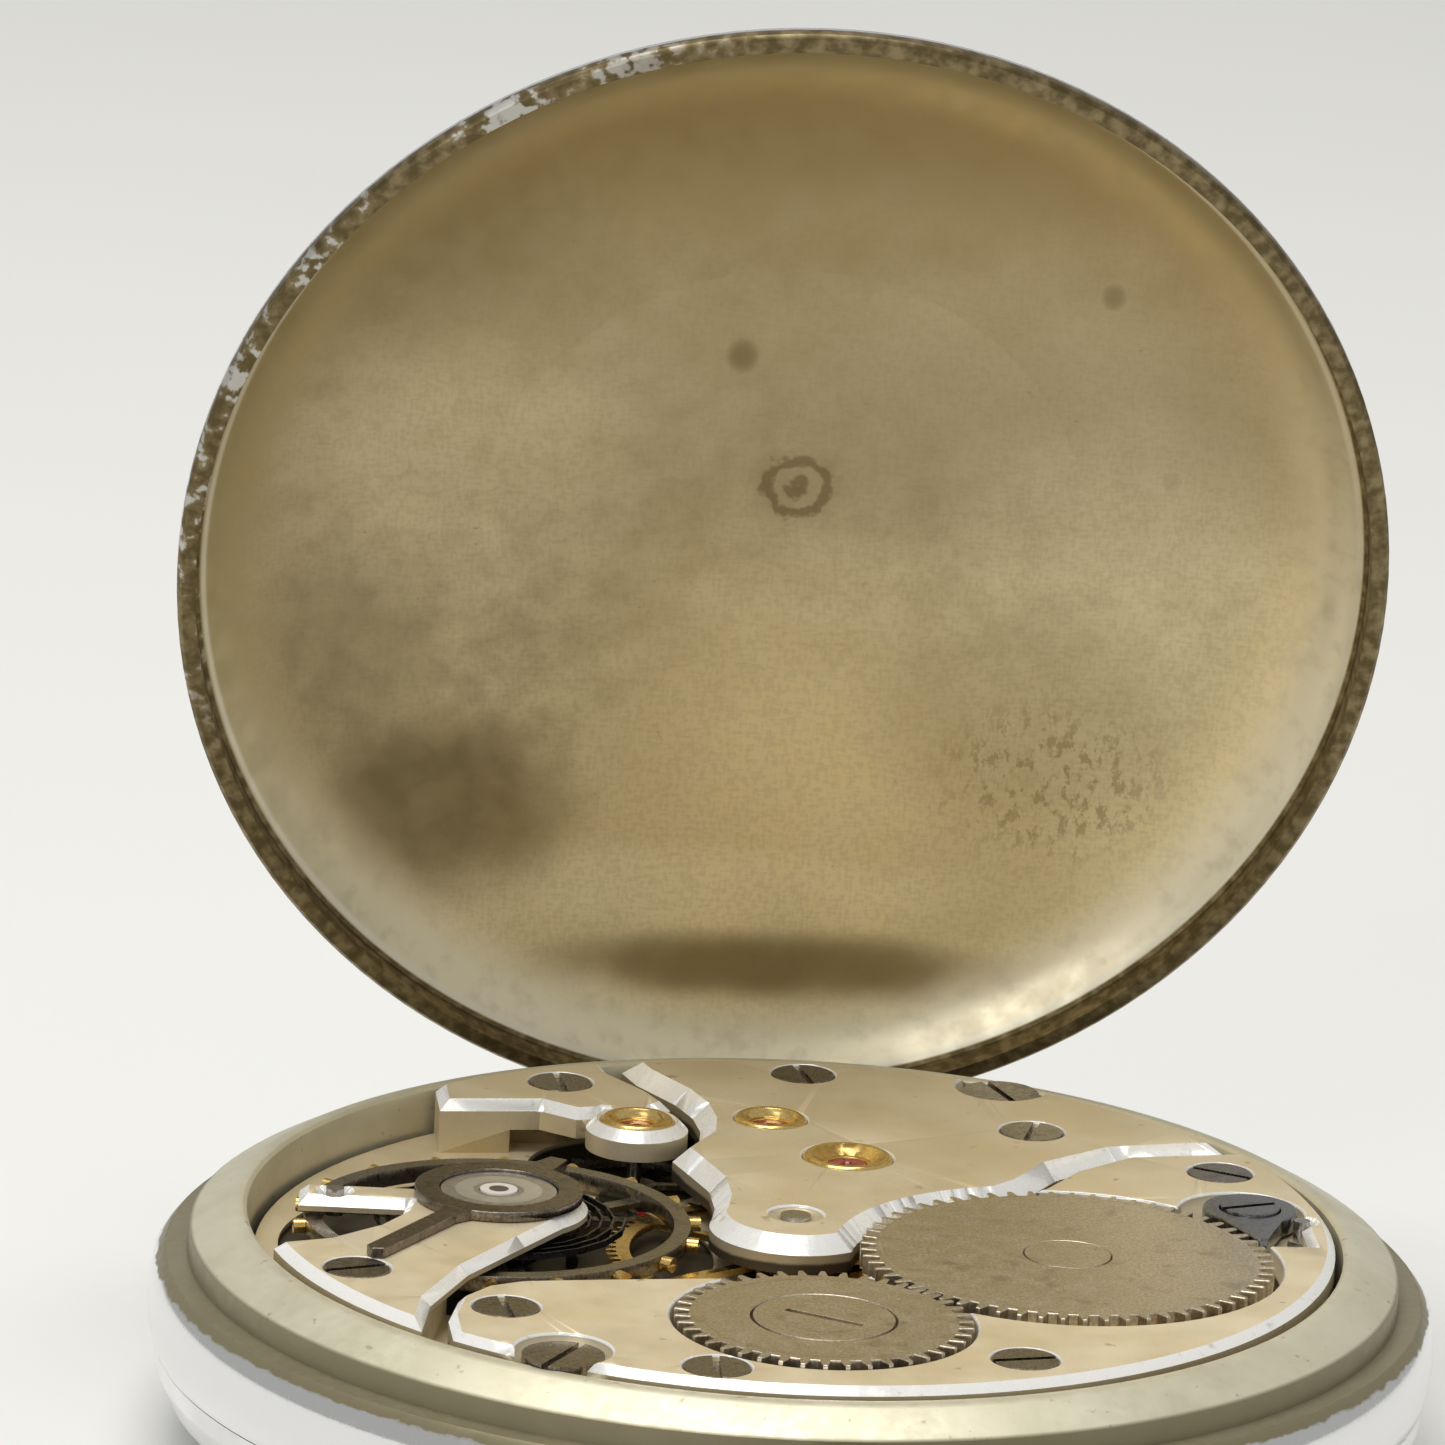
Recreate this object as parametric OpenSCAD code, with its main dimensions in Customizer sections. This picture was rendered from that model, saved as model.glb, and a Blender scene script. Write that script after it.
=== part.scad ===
// Open-face pocket watch, lying dial down with its back cover open.
// +Z points away from the dial, -Y towards the pendant, and the origin is the
// centre of the flat crystal face that the watch rests on.

/* [Case] */
// Outer radius of the ledge that the back cover closes on
ledge_r = 22.8; // [22.6:0.1:23]
// Height of the ledge above the crystal face
ledge_z = 7; // [7:0.1:7.2]
// Largest radius of the case middle
case_r = 23.25; // [23.1:0.05:23.5]
// Radius of the opening that shows the movement
opening_r = 19.8; // [19.75:0.05:19.85]
// Height of the raised ring above the ledge
ring_h = 1.7; // [1.6:0.05:1.75]
// Radius of the crystal
crystal_r = 19; // [18.5:0.1:19.2]

/* [Back cover] */
// Angle between the closed and the open back cover
cover_open = 76.6; // [0:0.1:90]
// Outer radius of the back cover
cover_r = 22.6; // [22.3:0.05:22.7]
// Height of the closed cover above the ledge
cover_h = 3.9; // [3.8:0.1:5]
// Length of the hinge along its pin
hinge_len = 12.3; // [10:0.1:13]

/* [Pendant and crown] */
// Radius of the crown
crown_r = 3.75; // [3:0.05:4]
// Length of the crown
crown_len = 4; // [3.5:0.1:4.5]
// Thickness of the bow's wire
bow_wire = 2.2; // [1.8:0.1:2.4]
// Angle the bow hangs below the case's plane
bow_tilt = 18.5; // [0:0.5:18.5]

/* [Movement] */
// Radius of the bridges and of the main plate's upper part
movement_r = 19.5; // [19.4:0.05:19.55]
// Thickness of the bridges
bridge_t = 1.3; // [1.2:0.05:1.35]
// Radius of a bridge screw's head
screw_r = 1.15; // [0.9:0.05:1.2]
// Number of ratchet wheel teeth
ratchet_teeth = 60;
// Number of crown wheel teeth
crown_teeth = 42;
// Tooth module of the winding wheels
winding_m = 0.24;

/* [Hidden] */
$fn = 96;

// Heights of the layers, from the crystal face upwards
crystal_t = 1.1;
bezel_joint_z = ledge_z - 3.1;
dial_z = 3;
dial_t = 0.4;
plate_bottom = 3.45;
plate_top = ledge_z;
bridge_top = plate_top + 2;
bridge_under = bridge_top - bridge_t;
wheel_top = bridge_top + 0.1;
stem_z = 5.9;
arbor_floor = 5.2;
barrel_z = arbor_floor + 0.1;
barrel_top = 7.05;
center_wheel_z = 7.2;
third_wheel_z = 6.7;
fourth_wheel_z = 5.6;
escape_wheel_z = 6.3;
balance_z = 7.65;
balance_h = 0.62;
cock_under = bridge_top - 0.55;

// Axes of the movement seen from the back
CENTER = [0, 0];
BARREL = [9.41, -4.31];
winding_distance = winding_m * (ratchet_teeth + crown_teeth) / 2;
CROWN_WHEEL = [0, BARREL[1] - sqrt(pow(winding_distance, 2) - pow(BARREL[0], 2))];
THIRD = [2.5, 7.05];
FOURTH = [0, 11.6];
ESCAPE = [-5, 11.1];
BALANCE = [-10.7, 1.1];
pallet_distance = 5.1;
pallet_cock_len = 5;
escape_aim = heading(ESCAPE, BALANCE);
PALLET = ESCAPE + pallet_distance * [cos(escape_aim), sin(escape_aim)];
MINUTE = [0, -3.84];
SETTING = [0, MINUTE[1] - 6.24];
CLICK = [16.75, 1.75];
CLICK_PIN = CLICK + [1.75, -1.25];

// Tooth counts and modules of the going train and the motion work
barrel_teeth = 76;
center_pinion_teeth = 14;
center_teeth = 80;
third_pinion_teeth = 10;
third_teeth = 75;
fourth_pinion_teeth = 10;
fourth_teeth = 80;
escape_pinion_teeth = 8;
cannon_teeth = 12;
minute_teeth = 36;
minute_pinion_teeth = 10;
hour_teeth = 40;
setting_teeth = 42;
winding_pinion_teeth = 18;
barrel_m = mesh_module(CENTER, BARREL, barrel_teeth + center_pinion_teeth);
center_m = mesh_module(CENTER, THIRD, center_teeth + third_pinion_teeth);
third_m = mesh_module(THIRD, FOURTH, third_teeth + fourth_pinion_teeth);
fourth_m = mesh_module(FOURTH, ESCAPE, fourth_teeth + escape_pinion_teeth);
motion_m = mesh_module(CENTER, MINUTE, cannon_teeth + minute_teeth);
hour_m = mesh_module(CENTER, MINUTE, hour_teeth + minute_pinion_teeth);

// Screws: bridge screws as [x, y, height of the seat], case screws likewise
head_t = 0.45;
screw_seat = bridge_top - head_t;
BRIDGE_SCREWS = [
    [1.7, 17.4], [9.7, 10.8], [16.2, 6.2], [6.7, -15.9], [-4.15, -17.45], [-11.1, -11.4],
    [-16.15, -7.4], [-7.6, 15.6]
];
CASE_SCREWS = [[9.1, 16.3], [-9.35, -15.95]];
case_screw_r = 1.45;
case_screw_z = ledge_z + ring_h - 0.35;

// Case: top of the raised ring, and the bore that the plate's flange sits in
ring_top = ledge_z + ring_h;
seat_r = 20.4;

// Back cover hinge
hinge_y = sqrt(pow(cover_r, 2) - pow(hinge_len / 2, 2)) - 0.15;
knuckle_r = 0.7;
pin_r = 0.35;
knuckle_len = 8;
hinge_cut = 0.1;

// Pendant, crown and bow, measured from the centre of the watch
pendant_y = -22.4;
pendant_len = 4.6;
bow_pivot_y = pendant_y - 2.5;
crown_y = pendant_y - pendant_len - 0.35;
bow_half = 6;
bow_far = 14.5;
bow_pin = 0.55;

// Keyless work: distances of the stem's and the clutch wheel's grooves from the centre
lever_y = 18.5;
clutch_y = 15.475;
SETTING_LEVER_PIVOT = [4, -15.2];
CLUTCH_LEVER_PIVOT = [-4.6, -12.2];

// Distance of the pallet stones from the escape wheel's axis
stone_r = 4;

steel = [0.57, 0.54, 0.48];
nickel = [0.78, 0.76, 0.70];
champagne = [0.85, 0.78, 0.62];
brass = [0.80, 0.62, 0.25];
gold = [0.90, 0.66, 0.28];
chrome = [0.80, 0.80, 0.79];
blued = [0.20, 0.24, 0.34];
ruby = [0.72, 0.16, 0.22];

function heading(a, b) = atan2(b[1] - a[1], b[0] - a[0]);
function mesh_module(a, b, teeth) = 2 * norm(b - a) / teeth;
function polar(r, a) = [r * cos(a), r * sin(a)];
// Phase that points a gap of the driven wheel at the tooth of the driving one
function gap_phase(a, b, teeth) = heading(b, a) + 180 / teeth;
// Phases of the winding wheels: the crown wheel keeps a gap over the stem
crown_wheel_phase = -90 + 180 / crown_teeth;
ratchet_phase = gap_phase(CROWN_WHEEL, BARREL, ratchet_teeth)
    - (crown_wheel_phase - heading(CROWN_WHEEL, BARREL)) * crown_teeth / ratchet_teeth;
function gear_points(teeth, m, phase) = let (
    r = teeth * m / 2, step = 360 / teeth
) [
    for (i = [0:teeth - 1], k = [[-1.25, -0.27], [0.95, -0.11], [0.95, 0.11], [-1.25, 0.27]])
        polar(r + k[0] * m, phase + (i + k[1]) * step)
];
function spiral_edge(r0, r1, turns, steps) = [
    for (i = [0:steps]) polar(r0 + (r1 - r0) * i / steps, 360 * turns * i / steps)
];
function backwards(list) = [for (i = [len(list) - 1:-1:0]) list[i]];

module at(p, z = 0) { translate([p[0], p[1], z]) children(); }
module disc(r, z0, z1) { translate([0, 0, z0]) cylinder(r = r, h = z1 - z0); }
module gear(teeth, m, z0, z1, phase = 0) {
    translate([0, 0, z0]) linear_extrude(z1 - z0) polygon(gear_points(teeth, m, phase));
}
// A toothed wheel with a rim, a hub and straight spokes
module spoked_wheel(teeth, m, z0, z1, hub, rim, spokes, phase) {
    inner = teeth * m / 2 - rim;
    translate([0, 0, z0]) linear_extrude(z1 - z0) difference() {
        polygon(gear_points(teeth, m, phase));
        difference() {
            circle(inner);
            circle(hub);
            for (i = [0:spokes - 1]) rotate(phase + i * 360 / spokes)
                translate([0, -0.2]) square([inner + 0.1, 0.4]);
        }
    }
}
// A flat coil spring
module coil_spring(r0, r1, turns, steps, t, z0, z1) {
    translate([0, 0, z0]) linear_extrude(z1 - z0) polygon(concat(
        spiral_edge(r0, r1, turns, steps), backwards(spiral_edge(r0 + t, r1 + t, turns, steps))
    ));
}
// A slotted cheese head on a plain shank, seated at z
module slotted_screw(r, z, shank_r, shank_len, turn = 0) {
    difference() {
        union() {
            disc(r, z, z + head_t);
            disc(shank_r, z - shank_len, z);
        }
        rotate(turn) translate([-r - 1, -0.13, z + head_t - 0.2]) cube([2 * r + 2, 0.26, 1]);
    }
}
module on_stem() { translate([0, 0, stem_z]) rotate([90, 0, 0]) children(); }
module stem_bore(r, y0, y1) { on_stem() rotate(37) disc(r, y0, y1); }
module movement_sector(points) { intersection() { circle(movement_r); polygon(points); } }

// ---------------------------------------------------------------- case

module case_profile() {
    polygon([
        [seat_r, 2.45], [21.2, 2.45], [21.2, bezel_joint_z - 0.25], [22.6, bezel_joint_z - 0.25],
        [22.6, bezel_joint_z], [23.05, bezel_joint_z], [case_r - 0.04, bezel_joint_z + 0.65],
        [case_r, ledge_z - 1.8], [case_r - 0.03, ledge_z - 1.1], [case_r - 0.14, ledge_z - 0.5],
        [ledge_r + 0.02, ledge_z - 0.12], [ledge_r - 0.1, ledge_z], [cover_r - 0.72, ledge_z],
        [cover_r - 0.76, ring_top - 0.85], [cover_r - 0.9, ring_top - 0.75],
        [20.5, ring_top - 0.1], [20.3, ring_top - 0.02], [19.95, ring_top], [opening_r, ring_top - 0.1],
        [opening_r, plate_bottom + 0.75], [seat_r, plate_bottom + 0.75]
    ]);
}
module hinge_rod(r, x0, x1) {
    translate([x0, hinge_y, ledge_z]) rotate([0, 90, 0]) cylinder(r = r, h = x1 - x0);
}
module case_knuckle(x0, x1) {
    hinge_rod(knuckle_r, x0, x1);
    translate([x0, hinge_y - 0.4, ledge_z - 1.2]) cube([x1 - x0, 0.8, 1]);
}
module case_middle() {
    half = hinge_len / 2;
    inner = knuckle_len / 2 + 0.08;
    color(chrome) difference() {
        union() {
            difference() {
                rotate_extrude() case_profile();
                hinge_rod(knuckle_r + hinge_cut, -half, half);
                translate([-half - 0.02, hinge_y, ledge_z - 0.5]) cube([2 * half + 0.04, 3, 2]);
                translate([-half - 0.02, hinge_y - 0.85, ledge_z]) cube([2 * half + 0.04, 4, 3]);
            }
            case_knuckle(inner, half - 0.05);
            case_knuckle(-half + 0.05, -inner);
        }
        hinge_rod(pin_r + 0.01, -half - 1, half + 1);
        for (p = CASE_SCREWS) at(p) disc(case_screw_r + 0.12, case_screw_z - 0.05, bridge_top);
        stem_bore(0.9, 17, 25);
    }
}
module bezel() {
    color(chrome) rotate_extrude() polygon([
        [18.3, 1.3], [crystal_r + 0.02, 1.3], [crystal_r + 0.02, 0.45], [19.6, 0.3], [20.6, 0.55],
        [21.7, 1.2], [22.5, 2.1], [22.95, 3.1], [23.02, bezel_joint_z - 0.05],
        [22.65, bezel_joint_z - 0.05], [22.65, bezel_joint_z - 0.3], [21.25, bezel_joint_z - 0.3],
        [21.25, 2.4], [18.3, 1.9]
    ]);
}
module crystal() {
    color([0.85, 0.90, 0.92, 0.35]) rotate_extrude() polygon([
        [0, 0], [crystal_r - 1.1, 0], [crystal_r, 0.5], [crystal_r, 1.28], [crystal_r - 0.7, 1.28],
        [crystal_r - 1, crystal_t], [0, crystal_t]
    ]);
}
module cover_wall() {
    rotate_extrude() polygon([
        [cover_r - 0.68, 0.03], [cover_r - 0.15, 0.03], [cover_r, 0.2], [cover_r, 0.75],
        [cover_r - 0.25, 1.25], [cover_r - 0.8, 1.95], [cover_r - 1.8, 2.65], [cover_r - 3.6, 3.25],
        [cover_r - 6.5, 3.62], [cover_r - 11, 3.82], [0, cover_h], [0, cover_h - 0.5],
        [cover_r - 11, 3.32], [cover_r - 6.5, 3.12], [cover_r - 3.8, 2.75], [cover_r - 2.3, 2.2],
        [cover_r - 1.35, 1.6], [cover_r - 1.05, 1.2], [cover_r - 0.68, 1.05]
    ]);
}
module back_cover() {
    half = hinge_len / 2 + 0.15;
    color(champagne) translate([0, hinge_y, ledge_z]) rotate([-cover_open, 0, 0])
        translate([0, -hinge_y, 0]) difference() {
            union() {
                difference() {
                    cover_wall();
                    translate([-half, hinge_y - 1, -1]) cube([2 * half, 5, 1 + knuckle_r + hinge_cut]);
                    translate([-half, hinge_y + 0.15, -1]) cube([2 * half, 5, 6]);
                }
                translate([-knuckle_len / 2, hinge_y - 0.55, 0.4]) cube([knuckle_len, 0.7, 0.85]);
                translate([-half, hinge_y - 0.4, 0.8]) cube([2 * half, 0.55, 0.6]);
                translate([-knuckle_len / 2, hinge_y, 0]) rotate([0, 90, 0])
                    cylinder(r = knuckle_r, h = knuckle_len);
            }
            translate([-hinge_len, hinge_y, 0]) rotate([0, 90, 0])
                cylinder(r = pin_r + 0.03, h = 2 * hinge_len);
        }
}
module back_hinge_pin() {
    color(steel) translate([-hinge_len / 2 + 0.1, hinge_y, ledge_z]) rotate([0, 90, 0])
        cylinder(r = pin_r, h = hinge_len - 0.2);
}

// ---------------------------------------------------------------- pendant

module pendant() {
    color(chrome) difference() {
        on_stem() translate([0, 0, -pendant_y]) rotate_extrude() polygon([
            [0.95, -1.2], [2.2, -1.2], [2.2, 0.8], [2.35, 1.4], [2.8, 2.2], [3, 2.8], [3, 3.6],
            [2.75, 4.2], [2.4, pendant_len], [0.95, pendant_len]
        ]);
        rotate_extrude() polygon([
            [0, 0], [23.1, 0], [case_r + 0.03, bezel_joint_z + 0.6], [case_r + 0.03, 6],
            [cover_r + 0.3, ledge_z + 0.2], [cover_r + 0.3, 12], [0, 12]
        ]);
        for (s = [-1, 1]) translate([s * 1.9, bow_pivot_y, stem_z]) rotate([0, s * 90, 0])
            cylinder(r = bow_pin + 0.07, h = 3);
    }
}
module bow() {
    wire = bow_wire / 2;
    color(chrome) translate([0, bow_pivot_y, stem_z]) rotate([bow_tilt, 0, 0]) {
        translate([0, -bow_far + bow_half, 0]) rotate([0, 0, 180]) rotate_extrude(angle = 180)
            translate([bow_half, 0]) circle(wire, $fn = 32);
        for (s = [-1, 1]) {
            translate([s * bow_half, 0, 0]) rotate([90, 0, 0])
                cylinder(r = wire, h = bow_far - bow_half, $fn = 32);
            translate([s * bow_half, 0, 0]) sphere(wire, $fn = 32);
            translate([s * bow_half, 0, 0]) rotate([0, -s * 90, 0]) {
                cylinder(r = 0.8, h = 2.8, $fn = 32);
                cylinder(r = bow_pin, h = 4, $fn = 32);
            }
        }
    }
}
module crown() {
    teeth = 30;
    color(chrome) on_stem() difference() {
        union() {
            translate([0, 0, -crown_y + 0.5]) linear_extrude(crown_len - 1.1)
                polygon([for (i = [0:2 * teeth - 1]) polar(crown_r - (i % 2) * 0.3, 180 * i / teeth)]);
            disc(crown_r - 0.4, -crown_y, -crown_y + 0.5);
            translate([0, 0, crown_len - crown_y]) rotate_extrude() polygon([
                [0, -0.7], [crown_r - 0.4, -0.7], [crown_r - 0.4, -0.5], [crown_r - 0.9, -0.2],
                [crown_r - 2, 0], [0, 0]
            ]);
        }
        disc(0.6, -crown_y - 1, -crown_y + 2.4);
    }
}
module winding_stem() {
    color(steel) on_stem() difference() {
        union() {
            disc(0.6, -crown_y - 1.2, -crown_y + 2.4);
            disc(0.75, lever_y - 0.22, -crown_y - 1.2);
            disc(0.62, 17.05, lever_y - 0.22);
            translate([-0.4, -0.4, 13.6]) cube([0.8, 0.8, 3.45]);
            disc(0.35, 12.1, 13.6);
        }
        difference() {
            disc(1, lever_y - 0.2, lever_y + 0.2);
            disc(0.42, lever_y - 1, lever_y + 1);
        }
    }
}

// ---------------------------------------------------------------- winding and setting

module winding_pinion() {
    color(steel) on_stem() difference() {
        union() {
            gear(winding_pinion_teeth, winding_m, 17.02, 18.2, 90);
            disc(1.5, 16.9, 17.02);
            for (i = [0:7]) rotate(i * 45) translate([0.8, -0.2, 16.65]) cube([0.7, 0.4, 0.3]);
        }
        disc(0.64, 16, 19);
    }
}
module clutch_wheel() {
    color(steel) on_stem() difference() {
        union() {
            disc(1.5, 14.85, 15.2);
            disc(1, 15.2, 15.75);
            disc(1.5, 15.75, 16.3);
            for (i = [0:7]) {
                rotate(i * 45 + 22.5) translate([0.8, -0.2, 16.28]) cube([0.68, 0.4, 0.3]);
                rotate(i * 45) translate([0.8, -0.2, 14.6]) cube([0.68, 0.4, 0.3]);
            }
        }
        translate([-0.44, -0.44, 14]) cube([0.88, 0.88, 3]);
    }
}
module setting_lever() {
    color(steel) difference() {
        union() {
            translate([0, 0, 3.55]) linear_extrude(0.35) polygon([
                [-0.6, -lever_y - 0.15], [3, -lever_y - 0.15], [4, -17.4], [4.8, -15.6], [4.5, -14.2],
                [3.5, -14.2], [3.1, -15.6], [3.1, -17.2], [2.7, -lever_y + 0.18], [-0.6, -lever_y + 0.18]
            ]);
            at([-0.35, -lever_y]) disc(0.13, 3.8, 5.4);
            at(SETTING_LEVER_PIVOT) disc(0.35, 3.8, 4.9);
        }
        at(SETTING_LEVER_PIVOT) disc(0.15, 3.5, 3.75);
    }
}
module clutch_lever() {
    color(steel) union() {
        translate([0, 0, 3.55]) linear_extrude(0.35) polygon([
            [-5.3, -12], [-4.6, -11.5], [-4, -12.2], [-3.6, -14.5], [0.05, -clutch_y + 0.25],
            [0.05, -clutch_y - 0.25], [-3.7, -15.6], [-4.9, -14]
        ]);
        at([-0.25, -clutch_y]) disc(0.2, 3.8, 4.75);
        at(CLUTCH_LEVER_PIVOT) disc(0.35, 3.8, 4.9);
    }
}
module setting_wheel() {
    color(steel) at(SETTING) difference() {
        gear(setting_teeth, motion_m, 3.8, 4.4, heading(SETTING, MINUTE));
        disc(0.55, 3, 5);
    }
}
module crown_wheel() {
    color(steel) at(CROWN_WHEEL) difference() {
        gear(crown_teeth, winding_m, wheel_top - 1.1, wheel_top, crown_wheel_phase);
        disc(1.92, wheel_top - 2, wheel_top + 1);
        disc(2.6, wheel_top - 0.45, wheel_top + 1);
    }
}
module crown_wheel_screw() {
    color(steel) at(CROWN_WHEEL) difference() {
        union() {
            disc(2.5, wheel_top - 0.43, wheel_top);
            disc(0.7, 7.3, wheel_top - 0.4);
        }
        rotate(-32) translate([-1.5, -0.14, wheel_top - 0.2]) cube([3, 0.28, 1]);
    }
}
module ratchet_wheel() {
    color(steel) at(BARREL) difference() {
        gear(ratchet_teeth, winding_m, wheel_top - 0.75, wheel_top, ratchet_phase);
        translate([-0.75, -0.75, 8]) cube([1.5, 1.5, 2]);
        disc(1.6, wheel_top - 0.25, wheel_top + 1);
    }
}
module ratchet_screw() {
    color(steel) at(BARREL) union() {
        disc(1.55, wheel_top - 0.23, wheel_top);
        disc(0.4, wheel_top - 1.2, wheel_top - 0.2);
    }
}
module click() {
    // The beak reaches towards the ratchet wheel and ends just outside its teeth
    aim = heading(BARREL, CLICK);
    tip = BARREL + polar(ratchet_teeth * winding_m / 2 + winding_m + 0.08, aim - 22);
    color(blued) difference() {
        union() {
            at(CLICK) disc(1.73, wheel_top - 0.7, wheel_top - 0.02);
            translate([0, 0, wheel_top - 0.7]) linear_extrude(0.68) polygon([
                CLICK + polar(1.65, -170), tip, tip + [0.35, 0.1], CLICK + polar(1.7, -52), CLICK
            ]);
        }
        at(CLICK) disc(0.55, 7, 10);
        at(CLICK) disc(1.12, wheel_top - 0.4, 10);
    }
}
module click_screw() {
    color(blued) at(CLICK) difference() {
        union() {
            disc(1.08, wheel_top - 0.38, wheel_top + 0.06);
            disc(0.5, 7.3, wheel_top - 0.3);
        }
        rotate(20) translate([-1.5, -0.13, wheel_top - 0.1]) cube([3, 0.26, 1]);
    }
}
// A bent blade in the notch beside the click, held by a pin
module click_spring() {
    end = CLICK_PIN + [-0.15, -1.85];
    color(steel) {
        at(CLICK_PIN) disc(0.3, wheel_top - 0.7, bridge_top + 0.04);
        translate([0, 0, wheel_top - 0.7]) linear_extrude(0.3) polygon([
            CLICK_PIN + [-0.1, 0.2], CLICK_PIN + [-0.3, -0.1], end + [-0.12, 0.2], end + [-0.5, 0.55],
            end + [-0.55, 0.4], end + [-0.05, 0], CLICK_PIN + [-0.08, -0.2]
        ]);
    }
}

// ---------------------------------------------------------------- bridges and plate

module plate_cuts() {
    at(BARREL) disc(9.15, arbor_floor, 9);
    disc(7.1, 6.95, 9);
    disc(2.1, arbor_floor, 9);
    at(THIRD) disc(4.95, 6.45, 9);
    at(FOURTH) disc(4.9, fourth_wheel_z - 0.15, 9);
    at(ESCAPE) disc(4.05, escape_wheel_z - 0.2, 9);
    at(ESCAPE) disc(0.95, fourth_wheel_z - 0.25, 9);
    at(PALLET) disc(3.3, 6, 9);
    at(BALANCE) disc(7.9, plate_top - 0.3, 9);
    at(BALANCE) disc(3, 6, 9);
    at(PALLET) rotate(escape_aim) translate([2, -1.6, 6]) cube([2.5, 3.2, 3]);
    // motion work and keyless work on the dial side
    disc(3.7, 3, 4.9);
    at(MINUTE) disc(3.2, 3, 4.6);
    at(SETTING) disc(3.7, 3, 4.55);
    translate([-5.9, -18.7, 3]) cube([11.2, 7.9, 1.25]);
    translate([-2.6, -18.7, 3]) cube([5.2, 5.25, 6]);
    translate([-1.4, -20.5, 3]) cube([5.4, 2.5, 1.25]);
    translate([-0.6, -20.5, 3]) cube([1.2, 2.5, 2.5]);
}
module main_plate() {
    color(champagne) difference() {
        union() {
            disc(movement_r, plate_bottom, plate_top);
            disc(seat_r - 0.15, plate_bottom, plate_bottom + 0.7);
        }
        difference() {
            plate_cuts();
            at(MINUTE) disc(0.4, 3.5, 4.7);
            at(SETTING) disc(0.5, 3.5, 4.7);
        }
        stem_bore(0.8, 18, 21);
        stem_bore(0.4, 11.3, 18);
        at(CENTER) disc(0.75, 3, 6);
        at(BARREL) disc(0.85, 4.5, 6);
        for (p = [THIRD, ESCAPE, PALLET, BALANCE]) at(p) disc(0.16, 4.7, 7);
        at(FOURTH) disc(0.3, 3, 7);
        for (p = BRIDGE_SCREWS) at(p) disc(0.46, 5.2, 8);
        for (p = CASE_SCREWS) at(p) disc(0.56, 5.2, 8);
        at(SETTING_LEVER_PIVOT) disc(0.38, 3, 5);
        at(CLUTCH_LEVER_PIVOT) disc(0.38, 3, 5);
        at(PALLET + polar(pallet_cock_len, escape_aim - 95)) disc(0.32, 5.2, 8);
    }
}
module screw_seats() {
    for (p = BRIDGE_SCREWS) at(p) {
        disc(screw_r + 0.05, screw_seat, 10);
        disc(0.48, 5, 10);
    }
    for (p = CASE_SCREWS) at(p) {
        disc(case_screw_r + 0.25, case_screw_z, 10);
        disc(0.58, 5, 10);
    }
}
module barrel_bridge_outline() {
    difference() {
        movement_sector([
            [-12.9, -20], [-13.15, -12.4], [-12.7, -10.2], [-11.7, -8.9], [-10.4, -8.25], [-7.7, -7.9],
            [-3.6, -7.45], [0, -7.6], [2.8, -6.5], [3.3, -2.4], [4.9, 0.6], [7.6, 2.35], [9.3, 3.9],
            [10.7, 6.1], [13, 8.1], [20, 9.3], [24, -10], [10, -24]
        ]);
        circle(3.6);
    }
}
module barrel_bridge() {
    color(champagne) difference() {
        translate([0, 0, plate_top]) linear_extrude(bridge_top - plate_top) barrel_bridge_outline();
        at(BARREL) disc(9.15, 6, bridge_under);
        disc(7.1, 6, bridge_under);
        at(CROWN_WHEEL) difference() {
            disc(5.4, wheel_top - 1.2, 10);
            disc(1.85, 6, wheel_top - 0.45);
        }
        at(CROWN_WHEEL) disc(0.72, 7, 10);
        at(BARREL) disc(7.75, wheel_top - 1.1, 10);
        at(BARREL) disc(1.27, 7, 10);
        at(CLICK + [-0.35, -0.25]) disc(2.3, wheel_top - 0.78, 10);
        at(CLICK) disc(0.52, 6, 10);
        translate([CLICK[0] - 0.7, CLICK[1] - 4, wheel_top - 0.78]) cube([2.4, 4, 2]);
        at(CLICK_PIN) disc(0.34, wheel_top - 0.78, 10);
        translate([-2.6, -18.7, 6]) cube([5.2, 5.25, 1.8]);
        translate([-2.6, -18.4, 6]) cube([5.2, 1.5, 2.7]);
        screw_seats();
    }
}
module train_bridge_outline() {
    difference() {
        union() {
            circle(3.1);
            movement_sector([
                [-3.1, 0], [-2.75, 2.2], [-2.8, 4.2], [-3.4, 6.2], [-3.9, 7.8], [-3.4, 8.8], [-2.75, 10],
                [-2.6, 11.6], [-2.75, 13.2], [-3.3, 14.9], [-4.6, 17.3], [-5.4, 20], [10, 24], [20, 9.6],
                [15.6, 9.2], [12.6, 8.5], [10.2, 6.6], [8.9, 4.4], [7.3, 2.8], [5.4, 1.9], [3, 0]
            ]);
        }
        at(BARREL) circle(7.8);
    }
}
module train_bridge() {
    color(champagne) difference() {
        translate([0, 0, plate_top]) linear_extrude(bridge_top - plate_top) train_bridge_outline();
        disc(7.1, 6, bridge_under);
        at(BARREL) disc(9.15, 6, bridge_under);
        at(THIRD) disc(5, 6, bridge_under);
        at(FOURTH) disc(4.3, 6, bridge_under);
        translate([-6, 0, 6]) cube([7, 15.5, bridge_under - 6]);
        disc(0.62, 7, 10);
        disc(1, bridge_top - 0.15, 10);
        at(THIRD) disc(1.68, bridge_top - 0.55, 10);
        at(THIRD) disc(0.9, 7, 10);
        at(FOURTH) disc(1.38, bridge_top - 0.55, 10);
        at(FOURTH) disc(0.75, 7, 10);
        screw_seats();
    }
}
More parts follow.
